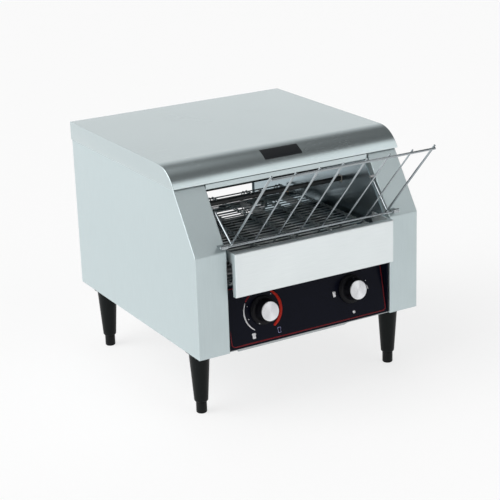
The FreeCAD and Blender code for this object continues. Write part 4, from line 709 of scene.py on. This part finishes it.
def skirt_ticks(side, ticks, finish):
    """Printed strokes on the skirt and the foot of the grip; (angle, inner, outer, width)."""
    rim, rim_height, slope = 20.8, 3.52, 0.42
    sunk, proud = -0.15, 0.12
    bm = bmesh.new()
    for angle, inner, outer, width in ticks:
        out = Vector((math.cos(math.radians(angle)), math.sin(math.radians(angle))))
        across = Vector((-out.y, out.x)) * width / 2
        low, high = [], []
        for reach, way in ((inner, -1), (outer, -1), (outer, 1), (inner, 1)):
            spot = out * reach + across * way
            height = rim_height + max(0.0, rim - reach) * slope
            low.append(bm.verts.new((spot.x, spot.y, height + sunk)))
            high.append(bm.verts.new((spot.x, spot.y, height + proud)))
        close_prism(bm, low, high)
    bmesh.ops.recalc_face_normals(bm, faces=bm.faces)
    return piece(side + "_knob_ticks", bm, finish, body=side + "_dial", slot="knob_black",
                 at=knob_frames[side])


def spun_finish(name):
    """Spun aluminium: fine rings round the centre and the bow-tie glint that they give."""
    finish = bpy.data.materials.new(name)
    finish.use_nodes = True
    tree = finish.node_tree
    place = add_node(tree, "TexCoord").outputs["Object"]
    split = add_node(tree, "SeparateXYZ", {0: place}).outputs
    flat = add_node(tree, "CombineXYZ", {"X": split["X"], "Y": split["Y"]}).outputs[0]
    reach = add_node(tree, "VectorMath", {0: flat}, operation="LENGTH").outputs["Value"]
    rings = tree.nodes.new("ShaderNodeTexNoise")
    rings.noise_dimensions = "1D"
    rings.inputs["Scale"].default_value = 5200
    rings.inputs["Detail"].default_value = 2
    tree.links.new(reach, rings.inputs["W"])
    tone = add_node(tree, "ValToRGB", {0: rings.outputs[0]})
    tone.color_ramp.elements[0].color = (0.76, 0.77, 0.80, 1)
    tone.color_ramp.elements[1].color = (0.92, 0.93, 0.95, 1)
    rough = add_node(tree, "MapRange", {"Value": rings.outputs[0], "To Min": 0.24,
                                        "To Max": 0.36})
    tangent = add_node(tree, "Tangent", direction_type="RADIAL", axis="Z")
    shader = tree.nodes["Principled BSDF"]
    shader.inputs["Metallic"].default_value = 0.85
    shader.inputs["Anisotropic"].default_value = 0.92
    for made, taken in ((tone.outputs[0], "Base Color"), (rough.outputs["Result"], "Roughness"),
                        (tangent.outputs[0], "Tangent")):
        tree.links.new(made, shader.inputs[taken])
    return finish


knob_plastic = enamel_finish("knob_plastic", (0.004, 0.004, 0.006), (0.007, 0.007, 0.009),
                             0.28, 0.42, speck=0.05, shine=0.12)
spun_metal = spun_finish("spun_metal")
for dial in ("speed", "selector"):
    knob(dial, knob_plastic)
    knob_cap(dial, spun_metal)
skirt_ticks("speed", [(-90, 17.8, 20.2, 1.1), (-120, 18.4, 22.2, 1.2)], white_ink)
skirt_ticks("selector", [(77, 17.8, 21.0, 1.0), (41, 18.0, 21.2, 1.0), (140, 18.2, 21.8, 1.3)],
            white_ink)


# Feed rack: bright plated wires spot welded on a head rod and on the hinge rod, whose ends
# turn in two short sleeves. Two arms run back from the hinge to the stops.
RACK_Y, RACK_Z, RACK_LEAN = -218.5, 279.0, 47.4
RACK_HALF, RACK_LENGTH, RACK_ROD_HALF, ARM_LENGTH = 139.6, 175.0, 160.9, 69.0
RACK_WIRES, SIDE_WIRE, INNER_WIRE, ARM_WIRE = 8, 1.8, 1.35, 2.0
HINGE_ROD, HEAD_ROD, ROD_TOP, DOME = 1.9, 1.8, 2.0, 0.8
rack_frame = (Matrix.Translation((0, RACK_Y, RACK_Z))
              @ Matrix.Rotation(math.radians(90 - RACK_LEAN), 4, "X"))


def tube(bm, path, radius, sides):
    """Sweep a circle along a path of points; the ends close with small domes."""
    flatness = 0.55
    points = [Vector(p) for p in path]
    def heading(index):
        if index == 0:
            return (points[1] - points[0]).normalized()
        if index == len(points) - 1:
            return (points[-1] - points[-2]).normalized()
        return ((points[index + 1] - points[index]).normalized()
                + (points[index] - points[index - 1]).normalized()).normalized()
    first = heading(0)
    helper = Vector((0, 0, 1)) if abs(first.z) < 0.9 else Vector((1, 0, 0))
    side = first.cross(helper).normalized()
    last = heading(len(points) - 1)
    stations = [(points[0] - first * radius * flatness * math.cos(t), first,
                 radius * math.sin(t)) for t in (0.45, 1.0)]
    stations += [(point, heading(index), radius) for index, point in enumerate(points)]
    stations += [(points[-1] + last * radius * flatness * math.cos(t), last,
                  radius * math.sin(t)) for t in (1.0, 0.45)]
    rings = []
    for centre, along, reach in stations:
        side = (side - along * side.dot(along)).normalized()
        up = along.cross(side)
        rings.append([bm.verts.new(centre + (side * math.cos(2 * math.pi * k / sides)
                                             + up * math.sin(2 * math.pi * k / sides)) * reach)
                      for k in range(sides)])
    for ring, after in zip(rings, rings[1:]):
        ring_wall(bm, ring, after)
    bm.faces.new(list(reversed(rings[0])))
    bm.faces.new(rings[-1])


def bead(bm, centre, sizes):
    """A flattened round weld bead."""
    made = bmesh.ops.create_uvsphere(bm, u_segments=10, v_segments=6, radius=1.0)
    bmesh.ops.scale(bm, vec=sizes, verts=made["verts"])
    bmesh.ops.translate(bm, vec=centre, verts=made["verts"])


def wire_finish(name, colour, stain, low, high, metal=0.9):
    """Drawn wire or turned steel: an even grain with hardly any bump."""
    return sheet_finish(name, colour, stain, metal, (120, 120, 120), low, high, 0.03)


def feed_rack(finish):
    """The wires stand on the two rods with a weld bead at each crossing."""
    bm = bmesh.new()
    tube(bm, [(DOME - RACK_ROD_HALF, 0, 0), (RACK_ROD_HALF - DOME, 0, 0)], HINGE_ROD, 18)
    tube(bm, [(-RACK_HALF - DOME, 0, RACK_LENGTH), (RACK_HALF + DOME, 0, RACK_LENGTH)],
         HEAD_ROD, 18)
    for index in range(RACK_WIRES):
        x = index * 2 * RACK_HALF / (RACK_WIRES - 1) - RACK_HALF
        radius, tail = (SIDE_WIRE, 5.2) if index in (0, RACK_WIRES - 1) else (INNER_WIRE, 22.0)
        lift = ROD_TOP + radius - 0.6
        tube(bm, [(x, lift, -tail), (x, lift, RACK_LENGTH + 3.2)], radius, 16)
        for z in (0, RACK_LENGTH):
            bead(bm, (x, ROD_TOP - 0.1, z), (radius * 0.75, 0.9, radius * 0.95))
    for side in (-1, 1):
        tube(bm, [(side * RACK_HALF, 0.6, 0), (side * (RACK_HALF + 0.6), 8, 0),
                  (side * (RACK_HALF + 3.6), ARM_LENGTH - DOME, 0)], ARM_WIRE, 16)
        bead(bm, (side * RACK_HALF, 1.2, 0), (2.6, 1.8, 2.6))
    bmesh.ops.recalc_face_normals(bm, faces=bm.faces)
    bmesh.ops.transform(bm, matrix=rack_frame, verts=bm.verts)
    return piece("feed_rack_wires", bm, finish, body="rack", slot="rack_wire",
                 stands_for=["feed_rack"])


rack_chrome = wire_finish("rack_chrome", (0.36, 0.40, 0.42), (0.26, 0.29, 0.31), 0.12, 0.24)
feed_rack(rack_chrome)


# Wire belt: an endless belt of cross wires, each hooked into the next by small Z bends in
# columns, as sold for ovens. The wire is heat-darkened stainless steel about 2.2 mm thick.
BELT_TOP, ROD_SPACING, TEETH, RUN_LINKS = 251.0, 12.0, 10, 24
BELT_HALF, FRONT_AXLE, REAR_AXLE = 138.5, -192.0, 96.0
BELT_RADIUS = ROD_SPACING / (2 * math.sin(math.pi / TEETH))
AXLE_Z = BELT_TOP - 1.5 - BELT_RADIUS


def belt_path():
    """Centres of the cross wires, in order round the loop."""
    run = [FRONT_AXLE + link * ROD_SPACING for link in range(RUN_LINKS + 1)]
    turns = [step * 2 * math.pi / TEETH for step in range(1, TEETH // 2)]
    return ([(y, AXLE_Z + BELT_RADIUS) for y in run]
            + [(REAR_AXLE + BELT_RADIUS * math.sin(turn), AXLE_Z + BELT_RADIUS * math.cos(turn))
               for turn in turns]
            + [(y, AXLE_Z - BELT_RADIUS) for y in reversed(run)]
            + [(FRONT_AXLE - BELT_RADIUS * math.sin(turn), AXLE_Z - BELT_RADIUS * math.cos(turn))
               for turn in turns])


def wire_belt(finish):
    """Each hook's bends are a place along the wire, a share of the way on, and a lift."""
    wire, columns, edge = 1.1, 5, 6.0
    hook = ((-3.4, 0.0, 0.0), (-2.5, 0.12, -0.1), (-2.2, 0.84, -0.1), (-1.6, 1.06, 0.5),
            (-0.6, 1.16, 1.2))
    hook += tuple((-x, share, lift) for x, share, lift in reversed(hook))
    spots = belt_path()
    bm = bmesh.new()
    pitch = 2 * (BELT_HALF - edge) / (columns - 1)
    for index, (y, z) in enumerate(spots):
        next_y, next_z = spots[(index + 1) % len(spots)]
        ahead = Vector((0, next_y - y, next_z - z))
        up = Vector((0, -ahead.z, ahead.y)).normalized()
        here = Vector((0, y, z))
        def at(x, share, lift=0.0):
            return here + Vector((x, 0, 0)) + ahead * share + up * lift
        path = [at(-BELT_HALF + 1.4, 0.0)]
        for column in range(columns):
            middle = -BELT_HALF + edge + column * pitch
            path += [at(middle + x, share, lift) for x, share, lift in hook]
        path.append(at(BELT_HALF - 1.4, 0.0))
        tube(bm, path, wire, 8)
    bmesh.ops.recalc_face_normals(bm, faces=bm.faces)
    return piece("conveyor_belt_wires", bm, finish, slot="belt_wire",
                 stands_for=["conveyor_belt"])


belt_steel = wire_finish("belt_steel", (0.56, 0.60, 0.61), (0.44, 0.46, 0.46), 0.26, 0.38)
wire_belt(belt_steel)


# Legs and feet: tapered black moulded legs under a round flange, each with a plain screw
# foot at its end that turns out to level the machine.
LEG_X, LEG_Y = 175.5, 165.4


def leg(corner, x, y, finish, rubber):
    at = Matrix.Translation(Vector((x, y, 0)) * MM)
    profile = rounded([(4.1, 20.4), (4.1, 20.0), (10.2, 20.0, 0.4), (11.0, 21.2, 0.8),
                       (11.6, 30.0, 8.0), (16.2, 98.0, 12.0), (18.2, 102.6, 2.0),
                       (21.4, 103.5, 0.7), (22.0, 104.6, 0.6), (22.0, 107.4, 0.2), (0, 107.4)])
    lathe("leg_%s_moulding" % corner, profile, finish, slot="leg_black",
          stands_for=["leg_" + corner], at=at)
    foot = rounded([(0, 0.02), (7.4, 0.02, 0.6), (8.5, 1.4, 0.8), (8.5, 18.2, 0.9),
                    (7.6, 19.7, 0.4), (4.0, 19.7), (4.0, 49.9), (0, 49.9)])
    lathe("foot_%s_screw" % corner, foot, rubber, body=corner + "_foot",
          slot="foot_rubber", stands_for=["foot_" + corner], at=at)


leg_plastic = enamel_finish("leg_plastic", (0.003, 0.005, 0.005), (0.006, 0.008, 0.008),
                            0.3, 0.46, speck=0.08, shine=0.14)
foot_plastic = enamel_finish("foot_plastic", (0.005, 0.006, 0.006), (0.008, 0.010, 0.010),
                             0.36, 0.5, speck=0.08, shine=0.15)
for row, y in (("front", -LEG_Y), ("back", LEG_Y)):
    for side, x in (("left", -LEG_X), ("right", LEG_X)):
        leg("%s_%s" % (row, side), x, y, leg_plastic, foot_plastic)


# Crumb tray: a thin folded steel pan that slides on two rails under the base. Its front
# leans out as a grip and its side rims hang on the rails.
TRAY_HALF, TRAY_LOW, TRAY_HIGH = 100.0, 77.5, 101.5
TRAY_FRONT, TRAY_BACK, TRAY_LIP, TRAY_RIM, TRAY_FOLD = -152.0, 108.0, 35.0, 6.0, 2.4


def crumb_tray(finish):
    """Floor, leaning front, back and two side walls with flat rims."""
    bm = bmesh.new()
    front_low, front_high = (TRAY_FRONT, TRAY_LOW), (TRAY_FRONT - TRAY_LIP, TRAY_HIGH)
    back_low, back_high = (TRAY_BACK, TRAY_LOW), (TRAY_BACK, TRAY_HIGH)
    for line in ([front_low, back_low], [front_low, front_high], [back_low, back_high]):
        add_sheet(bm, line, TRAY_HALF)
    for x, rim in ((-TRAY_HALF, -TRAY_HALF - TRAY_RIM), (TRAY_HALF, TRAY_HALF + TRAY_RIM)):
        add_face(bm, [(x, *front_low), (x, *back_low), (x, *back_high), (x, TRAY_FRONT, TRAY_HIGH),
                      (x, *front_high)])
        add_face(bm, [(x, TRAY_FRONT, TRAY_HIGH), (x, *back_high), (rim, *back_high),
                      (rim, TRAY_FRONT, TRAY_HIGH)])
    bm.normal_update()
    for face in bm.faces:
        middle = face.calc_center_median()
        on_rim = abs(middle.x) > TRAY_HALF + 0.5
        away = Vector((0, 0, 1)) if on_rim else middle - Vector((0, -20, 140))
        if face.normal.dot(away) < 0:
            face.normal_flip()
    bend_edges(bm, lambda p: p.z < TRAY_LOW + 0.1, TRAY_FOLD)
    return thicken(piece("crumb_tray_pan", bm, finish, body="tray", slot="inner_steel",
                         stands_for=["crumb_tray"]))


tray_steel = sheet_finish("tray_steel", (0.34, 0.39, 0.41), (0.24, 0.28, 0.29), 0.9,
                          (30, 900, 900), 0.3, 0.42)
crumb_tray(tray_steel)


# Back panel: a flat steel sheet screwed inside the side panels' flanges, with the wide toast
# outlet, six cooling slots and the hole for the cord gland.
BACK_Y, BACK_HALF, BACK_LOW, BACK_HIGH = 211.2, 197.9, 107.5, 389.5
BACK_SCREW_X = 190.0
OUTLET_X, OUTLET_LOW, OUTLET_HIGH, OUTLET_ROUND = 139.0, 154.0, 246.0, 4.0
SLOT_NEAR, SLOT_FAR, SLOT_LOW, SLOT_PITCH, SLOT_RADIUS = 148.0, 178.0, 170.0, 11.0, 2.0
GLAND_X, GLAND_Y, GLAND_Z, GLAND_HOLE = -164.0, 211.8, 134.0, 8.2


def back_panel(finish):
    frame_back = (Matrix.Translation((0, BACK_Y * MM, 0))
                  @ Matrix.Rotation(math.radians(90), 4, "X"))
    corners = ((OUTLET_X, OUTLET_LOW, -90), (OUTLET_X, OUTLET_HIGH, 0),
               (-OUTLET_X, OUTLET_HIGH, 90), (-OUTLET_X, OUTLET_LOW, 180))
    outlet = [point for x, z, start in corners
              for point in arc_points((x, z), OUTLET_ROUND, start, start + 90)]
    holes = [outlet, ring_points(GLAND_X, GLAND_Z, GLAND_HOLE)]
    for index in range(6):
        z = SLOT_LOW + index * SLOT_PITCH
        holes.append(arc_points((SLOT_FAR, z), SLOT_RADIUS, -90, 90)
                     + arc_points((SLOT_NEAR, z), SLOT_RADIUS, 90, 270))
    sheet = plate("back_panel_sheet", [(-BACK_HALF, BACK_LOW), (BACK_HALF, BACK_LOW),
                                       (BACK_HALF, BACK_HIGH), (-BACK_HALF, BACK_HIGH)],
                  holes, SHEET)
    plate_piece("back_panel_sheet", sheet, finish, frame_back, slot="cabinet_steel",
                stands_for=["back_panel"])


back_steel = sheet_finish("back_steel", STEEL_COLOUR, STEEL_SMUDGE, 0.95, (900, 900, 30),
                          0.46, 0.54)
back_panel(back_steel)
for rows, y, z_places in (("back_panel", BACK, (128, 232, 336)), ("lid", LID_BACK, (376,))):
    screws(rows + "_screw_heads", [(x, y, z) for x in (-BACK_SCREW_X, BACK_SCREW_X)
                                   for z in z_places],
           lambda p: (0, 1, 0), screw_steel, rows + "_screws")


# Cord gland: a moulded black nylon gland for the mains cord, with a hexagon collar and a
# domed cap, screwed through the back panel's round hole.
def cord_gland(finish):
    across_flats = 23.8
    at = (Matrix.Translation(Vector((GLAND_X, GLAND_Y, GLAND_Z)) * MM)
          @ Matrix.Rotation(math.radians(-90), 4, "X"))
    lathe("cable_gland_cap", rounded([(4.5, -9.8), (8.0, -9.8, 0.3), (8.0, 0.4), (9.4, 1.0),
                                      (9.4, 12.4, 2.0), (7.5, 15.9, 1.2), (4.6, 15.9, 0.2),
                                      (4.5, 15.0)]),
          finish, slot="switch_plastic", stands_for=["cable_gland"], at=at, steps=72)
    bm = bmesh.new()
    corners = ring_points(0, 0, across_flats / 2 / math.cos(math.pi / 6), 6)
    low, high = ([bm.verts.new((u, v, z)) for u, v in corners] for z in (0.1, 4.9))
    bm.faces.new(low)
    close_prism(bm, low, high)
    bmesh.ops.recalc_face_normals(bm, faces=bm.faces)
    soften(piece("cable_gland_collar", bm, finish, slot="switch_plastic", at=at), 0.6, 3)


gland_nylon = enamel_finish("gland_nylon", (0.012, 0.012, 0.013), (0.02, 0.02, 0.02), 0.4, 0.55,
                            speck=0.08)
cord_gland(gland_nylon)


# Heating elements: heat-darkened steel tubes with steel pins, three over the belt and three
# between its runs, held in ceramic collars in the tunnel's walls.
UPPER_PLACES, UPPER_Z = (-75, 0, 75), 300.0
LOWER_PLACES, LOWER_Z = (-120, -48, 24), 228.0
TUBE_RADIUS, TUBE_HALF, PIN_RADIUS, PIN_HALF = 4.0, 157.2, 1.5, 167.2


def elements(name, places, z, finish, pins):
    for part, radius, reach, look, stands_for in (
            ("tubes", TUBE_RADIUS, TUBE_HALF, finish, [name + "s"]),
            ("pins", PIN_RADIUS, PIN_HALF, pins, ())):
        bm = bmesh.new()
        for y in places:
            tube(bm, [(-reach, y, z), (reach, y, z)], radius, 24)
        bmesh.ops.recalc_face_normals(bm, faces=bm.faces)
        piece("%s_%s" % (name, part), bm, look, slot="element_sheath", stands_for=stands_for)


sheath = wire_finish("element_sheath", (0.035, 0.033, 0.032), (0.018, 0.016, 0.015), 0.4, 0.6,
                     0.6)
pin_steel = wire_finish("pin_steel", (0.45, 0.45, 0.46), (0.3, 0.3, 0.3), 0.3, 0.4)
elements("upper_element", UPPER_PLACES, UPPER_Z, sheath, pin_steel)
elements("lower_element", LOWER_PLACES, LOWER_Z, sheath, pin_steel)


# Inside pieces: folded steel walls, reflector, chute, rails and carriers, turned steel shafts
# and wheels, ceramic collars, bronze bushes, the painted motor and the moulded switches.
def dress(names, finish, edge):
    """Give pieces a finish of their kind and soften their cut edges."""
    for name in names:
        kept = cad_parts[name]
        kept.data.materials.clear()
        kept.data.materials.append(finish)
        soften(kept, edge)


inner_sheet = sheet_finish("inner_sheet", (0.40, 0.49, 0.53), (0.30, 0.38, 0.42), 0.95,
                           (900, 40, 900), 0.16, 0.3)
dress(["left_inner_wall", "right_inner_wall", "top_reflector", "toast_chute", "heat_shield",
       "left_tray_rail", "right_tray_rail", "motor_bracket"], inner_sheet, 0.4)
base_steel = sheet_finish("base_steel", (0.42, 0.44, 0.45), (0.30, 0.31, 0.32), 0.8,
                          (40, 900, 900), 0.35, 0.5)
dress(["base_plate", "belt_carrier"], base_steel, 0.3)
shaft_metal = wire_finish("shaft_metal", (0.42, 0.43, 0.44), (0.25, 0.24, 0.24), 0.25, 0.4)
dress(["front_shaft", "rear_shaft", "front_sprockets", "rear_sprockets", "motor_sprocket",
       "driven_sprocket", "speed_spindle", "selector_spindle", "rack_stops", "leg_bolts"],
      shaft_metal, 0.25)
ceramic = enamel_finish("ceramic", (0.72, 0.70, 0.65), (0.60, 0.57, 0.50), 0.55, 0.75,
                        speck=0.15)
dress(["element_insulators"], ceramic, 0.3)
chain_oiled = wire_finish("chain_oiled", (0.16, 0.155, 0.15), (0.06, 0.055, 0.05), 0.35, 0.55)
dress(["drive_chain"], chain_oiled, 0.3)
bush_bronze = wire_finish("bush_bronze", (0.42, 0.26, 0.12), (0.25, 0.15, 0.08), 0.35, 0.5)
dress(["shaft_bushes"], bush_bronze, 0.2)
motor_paint = enamel_finish("motor_paint", (0.05, 0.055, 0.06), (0.08, 0.08, 0.08), 0.4, 0.55,
                            speck=0.12)
dress(["gearmotor"], motor_paint, 0.5)
board_green = enamel_finish("board_green", (0.02, 0.12, 0.05), (0.03, 0.09, 0.04), 0.35, 0.5)
dress(["speed_control"], board_green, 0.2)
switch_plastic = enamel_finish("switch_plastic", (0.16, 0.155, 0.14), (0.11, 0.105, 0.10),
                               0.4, 0.55, speck=0.08)
dress(["selector_switch", "terminal_block"], switch_plastic, 0.3)
dress(["rack_pivots"], rack_chrome, 0.2)


# Studio: white paper under the toaster, a wide soft sun from the left, one soft lamp in front
# and dim panels around. The camera stands where the photograph was taken from.
CAMERA_EYE = (-1.15439796, -2.05099186, 0.98821704)
CAMERA_TURN = (1.2411139566, 0.0313907111, -0.5286392130)
CAMERA_LENS = 108.07
FLOOR_HALF, FLOOR_WHITE = 30.0, 0.75
LAMP_PLACE, LAMP_AIM = (1.3, -2.0, 2.0), (0, 0, 0.25)


def stand_light(name, light, at, toward):
    """Hang a light at a point; it shines against the direction that it is given."""
    holder = bpy.data.objects.new(name, light)
    holder.location = at
    holder.rotation_euler = Vector(toward).to_track_quat("Z", "Y").to_euler()
    bpy.context.scene.collection.objects.link(holder)


SKY_PANELS = [
    # direction of a soft white panel, cosines at which it starts and is full, its brightness
    ((0.0, 0.0, -1.0), -0.17, -0.10, 0.85),
    ((0.25, 1.0, 0.05), 0.60, 0.95, 0.75),
    ((-0.35, 0.90, 0.10), 0.80, 0.98, 0.45),
    ((-1.0, 0.10, 0.20), 0.60, 0.95, 1.8),
    ((0.30, -0.20, 0.10), -1.0, 1.0, 0.12),
    ((-0.10, 0.25, 1.0), 0.80, 0.97, 0.9),
]


def studio_sky():
    """A dark room with soft white panels: a band round the horizon, behind, left, overhead."""
    sky = bpy.data.worlds.new("studio")
    sky.use_nodes = True
    tree = sky.node_tree
    place = add_node(tree, "TexCoord").outputs["Generated"]
    total = 0.0
    for direction, start, full, brightness in SKY_PANELS:
        toward = add_node(tree, "VectorMath", {0: place, 1: Vector(direction).normalized()},
                          operation="DOT_PRODUCT").outputs["Value"]
        panel = add_node(tree, "MapRange", {
            "Value": toward, "From Min": start, "From Max": full, "To Max": brightness},
            interpolation_type="SMOOTHSTEP")
        total = add_node(tree, "Math", {0: total, 1: panel.outputs["Result"]}).outputs[0]
    tree.links.new(total, tree.nodes["Background"].inputs["Strength"])
    tree.nodes["Background"].inputs["Color"].default_value = (1, 1, 1, 1)
    bpy.context.scene.world = sky


def floor_paper():
    """White paper; seen directly or in metal it is mostly plain white and keeps the shadow."""
    paper = bpy.data.materials.new("floor_paper")
    paper.use_nodes = True
    tree = paper.node_tree
    shader = tree.nodes["Principled BSDF"]
    shader.inputs["Base Color"].default_value = (0.96, 0.96, 0.96, 1)
    shader.inputs["Roughness"].default_value = 0.9
    white = add_node(tree, "Emission", {"Strength": 1.0})
    path = add_node(tree, "LightPath").outputs
    seen = path["Is Camera Ray"]
    for way in ("Is Glossy Ray", "Is Transmission Ray"):
        seen = add_node(tree, "Math", {0: seen, 1: path[way]}, operation="MAXIMUM").outputs[0]
    share = add_node(tree, "Math", {0: seen, 1: FLOOR_WHITE}, operation="MULTIPLY").outputs[0]
    mix = add_node(tree, "MixShader", {0: share, 1: shader.outputs[0], 2: white.outputs[0]})
    tree.links.new(mix.outputs[0], tree.nodes["Material Output"].inputs["Surface"])
    return paper


def studio():
    camera = bpy.data.cameras.new("photo_camera")
    camera.lens = CAMERA_LENS
    camera.sensor_width = 36
    viewer = bpy.data.objects.new("photo_camera", camera)
    viewer.location = CAMERA_EYE
    viewer.rotation_euler = CAMERA_TURN
    bpy.context.scene.collection.objects.link(viewer)
    bpy.context.scene.camera = viewer
    bm = bmesh.new()
    add_face(bm, [(x * FLOOR_HALF, y * FLOOR_HALF, 0)
                  for x, y in ((-1, -1), (1, -1), (1, 1), (-1, 1))])
    floor_mesh = bpy.data.meshes.new("floor")
    bm.to_mesh(floor_mesh)
    bm.free()
    floor = bpy.data.objects.new("floor", floor_mesh)
    floor_mesh.materials.append(floor_paper())
    bpy.context.scene.collection.objects.link(floor)
    studio_sky()
    sun = bpy.data.lights.new("soft_sun", "SUN")
    sun.energy = 1.25
    sun.angle = math.radians(50)
    stand_light("soft_sun", sun, (0, 0, 0), (-0.72, 0.10, 0.80))
    lamp = bpy.data.lights.new("front_lamp", "AREA")
    lamp.shape = "RECTANGLE"
    lamp.size, lamp.size_y = 2.4, 1.5
    lamp.energy = 12
    stand_light("front_lamp", lamp, LAMP_PLACE, Vector(LAMP_PLACE) - Vector(LAMP_AIM))
    bpy.context.scene.view_settings.view_transform = "Standard"


studio()
